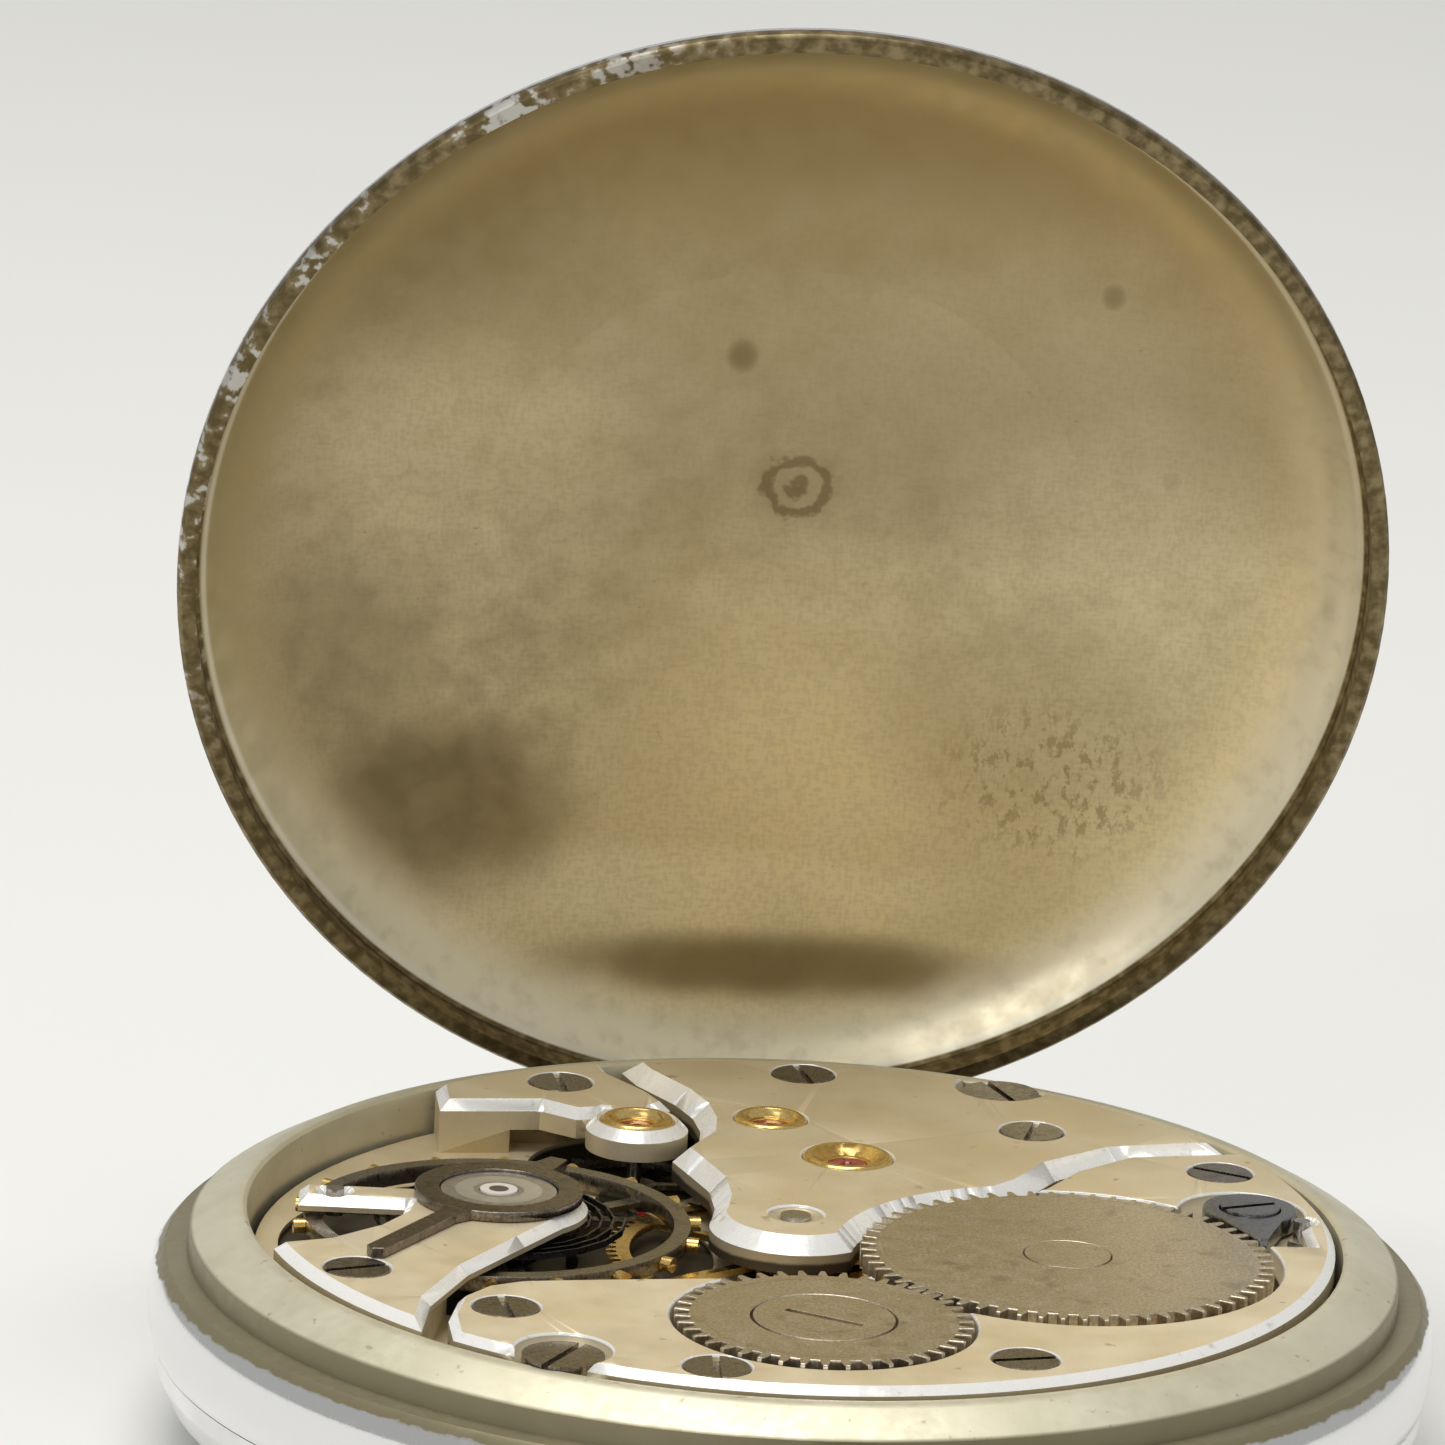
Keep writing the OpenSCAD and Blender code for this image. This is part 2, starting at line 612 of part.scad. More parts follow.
module escape_cock() {
    color(champagne) difference() {
        translate([0, 0, plate_top]) linear_extrude(bridge_top - plate_top) union() {
            at(ESCAPE) circle(1.9);
            movement_sector([
                [-12.4, 20], [-12.25, 12.7], [-8.5, 13], [-7.2, 12], [-4.1, 12.75], [-3.6, 13.4],
                [-4.2, 14.9], [-5.6, 17.2], [-6, 20]
            ]);
        }
        at(ESCAPE) disc(4.15, 6, bridge_under + 0.2);
        at(FOURTH) disc(4.95, 6, bridge_under + 0.2);
        translate([-9.6, 10, 6]) cube([3, 4.2, bridge_under - 5.8]);
        at(ESCAPE) disc(1.38, bridge_top - 0.55, 10);
        at(ESCAPE) disc(0.75, 7, 10);
        screw_seats();
    }
}
module pallet_cock() {
    side = escape_aim - 95;
    foot = PALLET + polar(pallet_cock_len, side);
    color(champagne) difference() {
        union() {
            at(PALLET) disc(0.9, 7.1, 7.5);
            at(PALLET) rotate(side) translate([0, -0.75, 7.1]) cube([pallet_cock_len, 1.5, 0.4]);
            at(foot) disc(0.85, plate_top, 7.5);
        }
        at(PALLET) disc(0.14, 6, 8);
        at(foot) disc(0.3, 6, 8);
    }
}
module balance_cock() {
    foot_dir = heading(BALANCE, [-16.3, -7.5]);
    color(champagne) difference() {
        union() {
            translate([0, 0, cock_under]) linear_extrude(bridge_top - cock_under) union() {
                at(BALANCE) circle(3.25);
                movement_sector([
                    [-13.95, 1.1], [-14.3, -0.6], [-15.3, -2.2], [-17.1, -3.8], [-19.6, -4.7], [-20, -12],
                    [-14.25, -14.2], [-13.7, -10.6], [-12.2, -7], [-10, -3.6], [-8.1, -0.7], [-7.5, 1.1]
                ]);
                at(BALANCE) rotate(176) translate([2, -0.9]) square([5.2, 1.8]);
            }
            translate([0, 0, plate_top]) linear_extrude(cock_under - plate_top + 0.1) difference() {
                movement_sector([
                    [-12, -2], [-19.6, -4.7], [-20, -12], [-14.25, -14.2], [-13.7, -10.6]
                ]);
                at(BALANCE) circle(7.8);
            }
        }
        at(BALANCE) disc(1.1, 8, 10);
        at(BALANCE) rotate(176) translate([5.9, 0, 0]) disc(0.36, 8, 10);
        screw_seats();
    }
}
module jewel_settings() {
    color(gold) {
        at(THIRD) setting_ring(1.66);
        at(FOURTH) setting_ring(1.36);
        at(ESCAPE) setting_ring(1.36);
    }
}
module setting_ring(r) {
    translate([0, 0, bridge_top - 0.53]) rotate_extrude() polygon([
        [0.72, 0], [r, 0], [r, 0.5], [r - 0.12, 0.62], [r - 0.3, 0.62], [0.9, 0.3], [0.72, 0.3]
    ]);
}
module train_jewels() {
    color(ruby) for (p = [THIRD, FOURTH, ESCAPE]) at(p, bridge_top - 0.53) rotate_extrude() polygon([
        [0.13, 0], [0.7, 0], [0.7, 0.26], [0.3, 0.24], [0.13, 0.12]
    ]);
}
module bridge_screws() {
    color(steel) for (i = [0:len(BRIDGE_SCREWS) - 1]) at(BRIDGE_SCREWS[i])
        slotted_screw(screw_r, screw_seat, 0.44, 3, [100, 75, 150, 12, 88, 96, 20, 95][i]);
}
module case_screws() {
    color(steel) {
        at(CASE_SCREWS[0]) slotted_screw(case_screw_r, case_screw_z, 0.54, 2.2, 108);
        at(CASE_SCREWS[1]) slotted_screw(case_screw_r, case_screw_z, 0.54, 2.2, 60);
    }
}

// ---------------------------------------------------------------- barrel and going train

module barrel() {
    color(brass) at(BARREL) difference() {
        union() {
            gear(barrel_teeth, barrel_m, barrel_z, barrel_z + 0.55, heading(BARREL, CENTER));
            disc(8.35, barrel_z, barrel_top - 0.25);
        }
        disc(7.9, barrel_z + 0.3, barrel_top);
        disc(0.85, 5, 8);
    }
}
module barrel_cover() {
    color(brass) at(BARREL) difference() {
        disc(8.2, barrel_top - 0.24, barrel_top);
        disc(0.85, 5, 8);
    }
}
module barrel_arbor() {
    color(steel) at(BARREL) difference() {
        union() {
            disc(0.8, 4.6, barrel_z + 0.32);
            disc(2.1, barrel_z + 0.34, barrel_top - 0.28);
            disc(0.8, barrel_z, barrel_top + 0.4);
            disc(1.22, barrel_top + 0.1, wheel_top - 0.86);
            translate([-0.7, -0.7, 7.5]) cube([1.4, 1.4, wheel_top - 0.3 - 7.5]);
        }
        disc(0.42, wheel_top - 1.3, 10);
    }
}
module mainspring() {
    color(steel) at(BARREL) coil_spring(3.2, 7.55, 9, 180, 0.2, barrel_z + 0.4, barrel_top - 0.34);
}
module center_wheel() {
    color(gold) {
        spoked_wheel(center_teeth, center_m, center_wheel_z, center_wheel_z + 0.25, 1.3, 0.7, 5,
            heading(CENTER, THIRD));
    }
    color(steel) {
        gear(center_pinion_teeth, barrel_m, barrel_z, center_wheel_z,
            gap_phase(BARREL, CENTER, center_pinion_teeth));
        disc(0.55, 7.4, bridge_top - 0.02);
        disc(0.6, 4.95, barrel_z);
        disc(0.42, 2.6, 5);
    }
}
module train_arbor(z0, z1, r) {
    disc(r, z0 + 0.5, z1 - 0.6);
    disc(0.1, z0, z1);
}
module third_wheel() {
    at(THIRD) {
        color(gold) spoked_wheel(third_teeth, third_m, third_wheel_z, third_wheel_z + 0.2, 0.9, 0.5, 4,
            heading(THIRD, FOURTH));
        color(steel) {
            gear(third_pinion_teeth, center_m, third_wheel_z + 0.2, 7.55,
                gap_phase(CENTER, THIRD, third_pinion_teeth));
            train_arbor(6, bridge_top - 0.3, 0.3);
        }
    }
}
module fourth_wheel() {
    at(FOURTH) {
        color(gold) spoked_wheel(fourth_teeth, fourth_m, fourth_wheel_z, fourth_wheel_z + 0.2, 0.8, 0.5, 4,
            heading(FOURTH, ESCAPE));
        color(steel) {
            gear(fourth_pinion_teeth, third_m, fourth_wheel_z + 0.2, 7.1,
                gap_phase(THIRD, FOURTH, fourth_pinion_teeth));
            train_arbor(5.2, bridge_top - 0.3, 0.25);
            disc(0.2, 2.55, 5.6);
        }
    }
}
module escape_wheel() {
    teeth = 15;
    at(ESCAPE) {
        color(steel) translate([0, 0, escape_wheel_z]) linear_extrude(0.2) difference() {
            polygon([for (i = [0:teeth - 1], k = [[3, -5], [3.78, 2.5], [3.66, 6], [3.15, 2], [3, 4]])
                polar(k[0], i * 360 / teeth + k[1])]);
            difference() {
                circle(2.6);
                circle(0.8);
                for (i = [0:3]) rotate(90 * i) translate([0, -0.18]) square([2.7, 0.36]);
            }
        }
        color(steel) {
            gear(escape_pinion_teeth, fourth_m, fourth_wheel_z - 0.1, escape_wheel_z,
                gap_phase(FOURTH, ESCAPE, escape_pinion_teeth));
            train_arbor(5, bridge_top - 0.3, 0.22);
        }
    }
}

// ---------------------------------------------------------------- escapement and balance

function stone_place(s) = ESCAPE + polar(stone_r, escape_aim + s * 30);
module pallet_fork() {
    color(steel) difference() {
        union() {
            for (s = [-1, 1]) let (end = stone_place(s) + polar(0.6, escape_aim + s * 30)) {
                at(end) disc(0.6, 6.3, 6.55);
                at(PALLET, 6.3) rotate(heading(PALLET, end)) translate([0, -0.3, 0])
                    cube([norm(end - PALLET) - 0.3, 0.6, 0.25]);
            }
            at(PALLET) disc(0.7, 6.3, 6.55);
            at(PALLET, 6.3) rotate(escape_aim) linear_extrude(0.25) polygon([
                [0, -0.35], [4, -0.2], [4.35, -0.6], [4.9, -0.6], [4.9, -0.22], [4.5, -0.18], [4.5, 0.18],
                [4.9, 0.22], [4.9, 0.6], [4.35, 0.6], [4, 0.2], [0, 0.35]
            ]);
            at(PALLET) disc(0.22, 6.05, 7.05);
            at(PALLET) disc(0.1, 5.2, 7.4);
        }
        for (s = [-1, 1]) stone_slot(s, 0.02);
    }
}
module stone_slot(s, extra) {
    at(stone_place(s), 6.15) rotate(escape_aim + s * 30)
        translate([0, -0.2 - extra, -extra]) cube([0.85 + extra, 0.4 + 2 * extra, 0.5 + 2 * extra]);
}
module pallet_stones() { color(ruby) for (s = [-1, 1]) stone_slot(s, 0); }

module balance_wheel() {
    color(gold) at(BALANCE, balance_z) difference() {
        linear_extrude(balance_h) union() {
            difference() {
                circle(7);
                circle(6.4);
            }
            for (i = [0:2]) rotate(35 + 120 * i) translate([0, -0.3]) square([6.5, 0.6]);
            circle(0.9);
        }
        difference() {
            translate([0, 0, 0.22]) cylinder(r = 6.39, h = 2);
            translate([0, 0, 0]) cylinder(r = 0.7, h = 0.35);
        }
        translate([0, 0, -1]) cylinder(r = 0.4, h = 3);
    }
}
module balance_screws() {
    count = 18;
    color(gold) at(BALANCE, balance_z + balance_h / 2) for (i = [0:count - 1])
        rotate(35 + (i + 0.5) * 360 / count) rotate([0, 90, 0]) translate([0, 0, 7.01]) difference() {
            cylinder(r = 0.27, h = 0.42);
            translate([-0.05, -1, 0.32]) cube([0.1, 2, 1]);
        }
}
module balance_staff() {
    color(steel) at(BALANCE) union() {
        disc(0.1, 5.2, 9.05);
        disc(0.3, 6.15, 7.2);
        disc(0.39, 7.2, balance_z + 0.4);
        disc(0.25, balance_z + 0.4, 8.75);
    }
}
module impulse_roller() {
    color(steel) at(BALANCE) difference() {
        disc(1.6, 6.85, 7.1);
        disc(0.31, 6, 8);
        rotate(escape_aim + 180) translate([1.15, 0, 0]) disc(0.19, 6, 8);
    }
    color(ruby) at(BALANCE) rotate(escape_aim + 180) translate([1.15, 0, 0]) disc(0.17, 6.35, 7.1);
}
module hairspring() {
    color(blued) at(BALANCE) {
        coil_spring(0.85, 4.6, 9, 180, 0.08, 8.1, 8.34);
        difference() {
            disc(0.62, 8.08, 8.4);
            disc(0.26, 8, 9);
        }
        translate([0.5, -0.04, 8.1]) cube([0.42, 0.08, 0.24]);
    }
}
module hairspring_stud() {
    color(steel) at(BALANCE) rotate(176) translate([5.9, 0, 0]) union() {
        disc(0.33, 8.1, 9.1);
        translate([-1.3, -0.04, 8.12]) cube([1.1, 0.08, 0.2]);
    }
}
module regulator() {
    aim = heading(BALANCE, [-15.6, -6.4]);
    color(steel) at(BALANCE) difference() {
        translate([0, 0, bridge_top + 0.02]) linear_extrude(0.38) union() {
            circle(3.05);
            rotate(aim) polygon([
                [2.6, -0.75], [3.7, -0.37], [8.7, -0.37], [8.95, 0], [8.7, 0.37], [3.7, 0.37], [2.6, 0.75]
            ]);
            rotate(aim + 180) polygon([[2.6, -0.6], [4.4, -0.35], [4.4, 0.35], [2.6, 0.6]]);
        }
        disc(2.16, 8, 10);
    }
}
module balance_end_cap() {
    color(nickel) at(BALANCE) difference() {
        union() {
            disc(2.1, bridge_top + 0.02, bridge_top + 0.3);
            disc(1.05, 8.75, bridge_top + 0.1);
        }
        disc(0.72, bridge_top + 0.12, 10);
        disc(0.13, 8, 9.1);
    }
    color(ruby) at(BALANCE) disc(0.68, bridge_top + 0.14, bridge_top + 0.34);
}

// ---------------------------------------------------------------- dial side

module dial() {
    color([0.95, 0.94, 0.90]) translate([0, 0, dial_z]) difference() {
        cylinder(r = 19.4, h = dial_t);
        translate([0, 0, -1]) cylinder(r = 1.05, h = 3);
        at(FOURTH, -1) cylinder(r = 0.4, h = 3);
        at(FOURTH, -1) cylinder(r = 4.7, h = 1.12);
    }
}
module hand(length, width, z, t, tail) {
    disc(width * 0.9, z, z + t);
    translate([0, 0, z]) linear_extrude(t) polygon([
        [-width * 0.3, -tail], [-width * 0.2, length * 0.55], [-width * 0.5, length * 0.68], [0, length],
        [width * 0.5, length * 0.68], [width * 0.2, length * 0.55], [width * 0.3, -tail]
    ]);
}
// The hands read ten past ten when the dial is seen with the pendant up
module hour_hand() {
    color(blued) difference() {
        rotate(180 + 305) hand(9.6, 1.5, 2.45, 0.18, 1);
        disc(0.83, 0, 4);
    }
}
module minute_hand() {
    color(blued) difference() {
        rotate(180 + 60) hand(14.6, 1.2, 2.0, 0.18, 0.8);
        disc(0.5, 0, 4);
    }
}
module seconds_hand() {
    color(blued) at(FOURTH) difference() {
        rotate(180 + 210) hand(4.2, 0.5, 2.72, 0.12, 1.4);
        disc(0.2, 0, 4);
    }
}
module cannon_pinion() {
    color(steel) difference() {
        union() {
            gear(cannon_teeth, motion_m, 4.15, 4.8, heading(CENTER, MINUTE));
            disc(0.5, 1.95, 4.2);
        }
        disc(0.42, 1, 5);
    }
}
module hour_wheel() {
    color(brass) difference() {
        union() {
            gear(hour_teeth, hour_m, 3.6, 3.8, heading(CENTER, MINUTE));
            disc(0.82, 2.4, 4.1);
        }
        disc(0.56, 2, 5);
    }
}
module minute_wheel() {
    color(brass) at(MINUTE) difference() {
        union() {
            gear(minute_teeth, motion_m, 4.2, 4.42, gap_phase(CENTER, MINUTE, minute_teeth));
            gear(minute_pinion_teeth, hour_m, 3.55, 4.2, gap_phase(CENTER, MINUTE, minute_pinion_teeth));
        }
        disc(0.44, 3, 5);
    }
}

case_middle();
pendant();
bow();
crown();
bezel();
crystal();
back_cover();
back_hinge_pin();
dial();
hour_hand();
minute_hand();
seconds_hand();
hour_wheel();
cannon_pinion();
minute_wheel();
setting_wheel();
main_plate();
barrel_bridge();
train_bridge();
escape_cock();
pallet_cock();
balance_cock();
barrel();
barrel_cover();
barrel_arbor();
mainspring();
ratchet_wheel();
ratchet_screw();
crown_wheel();
crown_wheel_screw();
click();
click_screw();
click_spring();
center_wheel();
third_wheel();
fourth_wheel();
escape_wheel();
pallet_fork();
pallet_stones();
balance_wheel();
balance_screws();
balance_staff();
impulse_roller();
hairspring();
hairspring_stud();
regulator();
balance_end_cap();
jewel_settings();
train_jewels();
bridge_screws();
case_screws();
winding_stem();
winding_pinion();
clutch_wheel();
setting_lever();
clutch_lever();
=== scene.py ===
"""Open face pocket watch with its back cover open: looks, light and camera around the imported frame."""

import math

import bmesh
import bpy
from mathutils import Matrix, Vector

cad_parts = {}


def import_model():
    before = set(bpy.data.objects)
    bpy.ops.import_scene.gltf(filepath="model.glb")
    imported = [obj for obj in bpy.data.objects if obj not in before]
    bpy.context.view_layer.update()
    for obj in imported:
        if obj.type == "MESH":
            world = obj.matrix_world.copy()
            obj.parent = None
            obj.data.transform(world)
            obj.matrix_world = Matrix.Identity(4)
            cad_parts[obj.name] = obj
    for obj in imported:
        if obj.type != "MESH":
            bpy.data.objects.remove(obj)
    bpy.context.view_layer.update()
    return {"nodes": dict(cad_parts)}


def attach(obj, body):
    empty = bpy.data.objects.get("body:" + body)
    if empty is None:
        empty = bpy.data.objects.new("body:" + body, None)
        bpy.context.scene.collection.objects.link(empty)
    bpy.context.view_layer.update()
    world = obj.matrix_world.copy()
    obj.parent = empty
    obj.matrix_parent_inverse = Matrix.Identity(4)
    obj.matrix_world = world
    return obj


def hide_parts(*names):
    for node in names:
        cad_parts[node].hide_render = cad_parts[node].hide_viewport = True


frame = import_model()
NODES = frame["nodes"]
MM = 0.001

# Heights and centres of the design, in millimetres
LEDGE_Z = 7.0
RING_TOP = 8.7
BRIDGE_TOP = 9.0
DIAL_Z = 3.0
SECONDS_SINK = 0.12
HINGE_Y = 21.597
OPEN_ANGLE = math.radians(76.6)
COVER_R = 22.6
COVER_MIDDLE_R = 2.0
LEDGE_EDGE_R = 22.62
RING_FOOT_R = 21.88
OPENING_R = 19.8
BARREL = (9.41, -4.31)
CROWN_WHEEL = (0.0, -12.14)
CENTER = (0.0, 0.0)
THIRD = (2.5, 7.05)
FOURTH = (0.0, 11.6)
ESCAPE = (-5.0, 11.1)
BALANCE = (-10.7, 1.1)
CLICK_SEAT = (16.4, 1.5)

# Below these heights the gilding is painted almost black as shade: between the bridges, and under the
# plate's top
RECESS_SHADE_Z = 8.2
PLATE_RECESS_SHADE_Z = 6.95

PLATING = (0.80, 0.80, 0.81)

# Two points of a CAD mesh nearer than this are one point, in millimetres
WELD = 0.002


# ------------------------------------------------------------------ materials


class Paint:
    """A procedural material. Its coordinates are the piece's own, in millimetres, so they ride with it."""

    def __init__(self, name, colour=(0.8, 0.8, 0.8), metallic=1.0, roughness=0.4):
        self.material = bpy.data.materials.new(name)
        self.material.use_nodes = True
        self.tree = self.material.node_tree
        self.shader = self.tree.nodes["Principled BSDF"]
        self.shader.inputs["Base Color"].default_value = (*colour, 1)
        self.shader.inputs["Metallic"].default_value = metallic
        self.shader.inputs["Roughness"].default_value = roughness
        coords = self.tree.nodes.new("ShaderNodeTexCoord")
        self.normal = coords.outputs["Normal"]
        self.mm = self.vector("SCALE", coords.outputs["Object"], scale=1 / MM)

    def put(self, socket, value):
        """Links a socket to a socket, or sets its value."""
        if isinstance(value, bpy.types.NodeSocket):
            self.tree.links.new(value, socket)
        else:
            socket.default_value = value

    def vector(self, operation, a, b=None, scale=None):
        node = self.tree.nodes.new("ShaderNodeVectorMath")
        node.operation = operation
        self.put(node.inputs[0], a)
        if b is not None:
            self.put(node.inputs[1], b)
        if scale is not None:
            node.inputs["Scale"].default_value = scale
        return node.outputs["Value" if operation in ("LENGTH", "DOT_PRODUCT") else "Vector"]

    def math(self, operation, a, b=0.0):
        node = self.tree.nodes.new("ShaderNodeMath")
        node.operation = operation
        self.put(node.inputs[0], a)
        self.put(node.inputs[1], b)
        return node.outputs["Value"]

    def axis(self, vector, name):
        node = self.tree.nodes.new("ShaderNodeSeparateXYZ")
        self.put(node.inputs[0], vector)
        return node.outputs[name]

    def noise(self, scale, detail=3.0, stretch=(1, 1, 1), at=None, rough=0.5):
        moved = self.vector("MULTIPLY", at or self.mm, stretch)
        node = self.tree.nodes.new("ShaderNodeTexNoise")
        self.put(node.inputs["Vector"], moved)
        node.inputs["Scale"].default_value = scale
        node.inputs["Detail"].default_value = detail
        node.inputs["Roughness"].default_value = rough
        return node.outputs["Fac"]

    def span(self, value, low, high, to_low=0.0, to_high=1.0):
        """A smooth step of a value from low to high."""
        node = self.tree.nodes.new("ShaderNodeMapRange")
        node.interpolation_type = "SMOOTHSTEP"
        self.put(node.inputs["Value"], value)
        node.inputs["From Min"].default_value = low
        node.inputs["From Max"].default_value = high
        node.inputs["To Min"].default_value = to_low
        node.inputs["To Max"].default_value = to_high
        return node.outputs["Result"]

    def mix(self, share, a, b):
        node = self.tree.nodes.new("ShaderNodeMix")
        node.data_type = "RGBA"
        self.put(node.inputs["Factor"], share)
        self.put(node.inputs["A"], a if isinstance(a, bpy.types.NodeSocket) else (*a, 1))
        self.put(node.inputs["B"], b if isinstance(b, bpy.types.NodeSocket) else (*b, 1))
        return node.outputs["Result"]

    def radius(self, centre=(0, 0), at=None):
        """Distance from a vertical axis."""
        flat = self.vector("MULTIPLY", self.vector("SUBTRACT", at or self.mm, (*centre, 0)), (1, 1, 0))
        return self.vector("LENGTH", flat)

    def colour(self, value):
        self.put(self.shader.inputs["Base Color"], value)
        return self

    def metal(self, value):
        self.put(self.shader.inputs["Metallic"], value)
        return self

    def rough(self, value):
        self.put(self.shader.inputs["Roughness"], value)
        return self

    def bump(self, height, strength, depth):
        """Bump from a height in units of depth millimetres."""
        node = self.tree.nodes.new("ShaderNodeBump")
        node.inputs["Strength"].default_value = strength
        node.inputs["Distance"].default_value = depth * MM
        self.put(node.inputs["Height"], height)
        self.put(self.shader.inputs["Normal"], node.outputs["Normal"])
        return self

    def spread(self, value):
        """A vector with the same value in all three places."""
        node = self.tree.nodes.new("ShaderNodeCombineXYZ")
        for socket in node.inputs:
            self.put(socket, value)
        return node.outputs["Vector"]

    def inverse(self, share):
        return self.math("SUBTRACT", 1.0, share)

    def part_plated(self, plated, bare, polish, satin):
        """Polished plating where a share is one, and bare metal with a satin finish elsewhere."""
        self.colour(self.mix(plated, bare, PLATING))
        bare_part = self.math("MULTIPLY", satin, self.inverse(plated))
        self.rough(self.math("ADD", bare_part, self.math("MULTIPLY", polish, plated)))


def gilt_paint(name, shade=0.5, shade_below=None):
    """Frosted gilding: fine grain, faint clouds, a few dark age spots, painted shade on upright walls, and
    painted shade down in the recesses.
    """
    paint = Paint(name, metallic=0.55, roughness=0.5)
    clouds = paint.span(paint.noise(0.22, 3), 0.35, 0.65)
    body = paint.mix(clouds, (0.79, 0.67, 0.44), (0.86, 0.76, 0.55))
    grain = paint.noise(14, 2)
    body = paint.mix(paint.span(grain, 0.3, 0.7, 0, 0.25), body, (0.66, 0.53, 0.32))
    spots = paint.span(paint.noise(1.3, 2), 0.70, 0.78, 0, 0.6)
    body = paint.mix(spots, body, (0.36, 0.27, 0.14))
    # Painted shade: upright walls turn darker, by the share given as shade
    upright = paint.span(paint.math("ABSOLUTE", paint.axis(paint.normal, "Z")), 0.3, 0.6, shade, 0)
    body = paint.mix(upright, body, (0.26, 0.21, 0.13))
    if shade_below:
        # Painted shade: below the given height the gilding turns almost black, with a wobble from the
        # clouds
        height = paint.math("ADD", paint.axis(paint.mm, "Z"), paint.math("MULTIPLY", clouds, 0.1))
        body = paint.mix(paint.span(height, shade_below - 0.15, shade_below), (0.075, 0.058, 0.036), body)
    paint.colour(body)
    paint.rough(paint.span(paint.noise(0.5, 3), 0.3, 0.7, 0.42, 0.55))
    return paint.bump(paint.math("ADD", grain, paint.noise(5, 2)), 0.25, 0.02)


def polished_paint():
    """The hand-polished chamfer round a bridge."""
    paint = Paint("polished_chamfer", metallic=0.25, roughness=0.2)
    worn = paint.span(paint.noise(2.2, 4), 0.60, 0.78, 0, 0.7)
    paint.colour(paint.mix(worn, (1.0, 0.99, 0.96), (0.62, 0.58, 0.50)))
    paint.rough(paint.span(paint.noise(3, 2), 0.3, 0.7, 0.18, 0.30))
    return paint.bump(paint.noise(1.5, 2), 0.05, 0.02)


def satin_steel_paint(name, centre, dark=(0.50, 0.445, 0.35), light=(0.76, 0.68, 0.54), ring=None):
    """Ground steel with circular lines round an axis."""
    paint = Paint(name, roughness=0.34)
    reach = paint.radius(centre)
    grain = paint.noise(9, 3)
    body = paint.mix(paint.span(grain, 0.3, 0.7), dark, light)
    stain = paint.span(paint.noise(0.9, 3), 0.55, 0.75, 0, 0.4)
    paint.colour(paint.mix(stain, body, (0.27, 0.20, 0.13)))
    lines = paint.math("SINE", paint.math("MULTIPLY", reach, 42.0))
    height = paint.math("ADD", paint.math("MULTIPLY", lines, 0.12), grain)
    if ring:
        groove = paint.math("ABSOLUTE", paint.math("SUBTRACT", reach, ring))
        height = paint.math("ADD", height, paint.span(groove, 0.02, 0.12, -3, 0))
    paint.rough(paint.span(paint.noise(1.5, 3), 0.3, 0.7, 0.28, 0.40))
    return paint.bump(height, 0.22, 0.02)


def steel_paint(name, dark, light, roughness):
    """Plain steel with a brushed grain and a little staining."""
    paint = Paint(name, roughness=roughness)
    brushed = paint.noise(7, 4, stretch=(1, 4, 1))
    body = paint.mix(paint.span(brushed, 0.3, 0.7), dark, light)
    stain = paint.span(paint.noise(1.1, 3), 0.55, 0.72, 0, 0.5)
    paint.colour(paint.mix(stain, body, tuple(0.6 * c for c in dark)))
    paint.rough(paint.span(paint.noise(3, 3), 0.3, 0.7, roughness * 0.8, roughness * 1.25))
    return paint.bump(brushed, 0.15, 0.015)


def wheel_paint(name, centre, pinion_r):
    """A gilt brass wheel on a polished steel pinion."""
    paint = Paint(name, roughness=0.25)
    grain = paint.noise(11, 3)
    brass = paint.mix(paint.span(grain, 0.3, 0.7), (0.72, 0.49, 0.16), (0.86, 0.64, 0.26))
    share = paint.span(paint.radius(centre), pinion_r, pinion_r + 0.05)
    paint.colour(paint.mix(share, (0.42, 0.39, 0.35), brass))
    paint.rough(paint.span(paint.noise(2, 2), 0.3, 0.7, 0.18, 0.32))
    return paint.bump(grain, 0.12, 0.01)


def ruby_paint():
    paint = Paint("ruby", metallic=0.0, roughness=0.06)
    glow = paint.noise(4, 2)
    paint.colour(paint.mix(paint.span(glow, 0.3, 0.7), (0.30, 0.015, 0.02), (0.62, 0.06, 0.05)))
    paint.shader.inputs["Transmission Weight"].default_value = 0.35
    paint.shader.inputs["IOR"].default_value = 1.76
    return paint


def chrome_scuffs(paint, at):
    """Fine scratches on plating, as a roughness and a height."""
    long_marks = paint.noise(1.2, 5, stretch=(1, 7, 3), at=at, rough=0.65)
    cross_marks = paint.noise(1.6, 5, stretch=(6, 1, 2), at=at, rough=0.65)
    marks = paint.math("MAXIMUM", long_marks, cross_marks)
    return paint.span(marks, 0.52, 0.70, 0.06, 0.24), marks


def chrome_paint():
    """Polished plating with scuffs."""
    paint = Paint("plated_case", roughness=0.1)
    rough, marks = chrome_scuffs(paint, paint.mm)
    haze = paint.span(paint.noise(0.35, 3), 0.35, 0.7)
    paint.colour(paint.mix(haze, (0.86, 0.86, 0.87), (0.74, 0.74, 0.75)))
    paint.rough(rough)
    return paint.bump(marks, 0.06, 0.02)


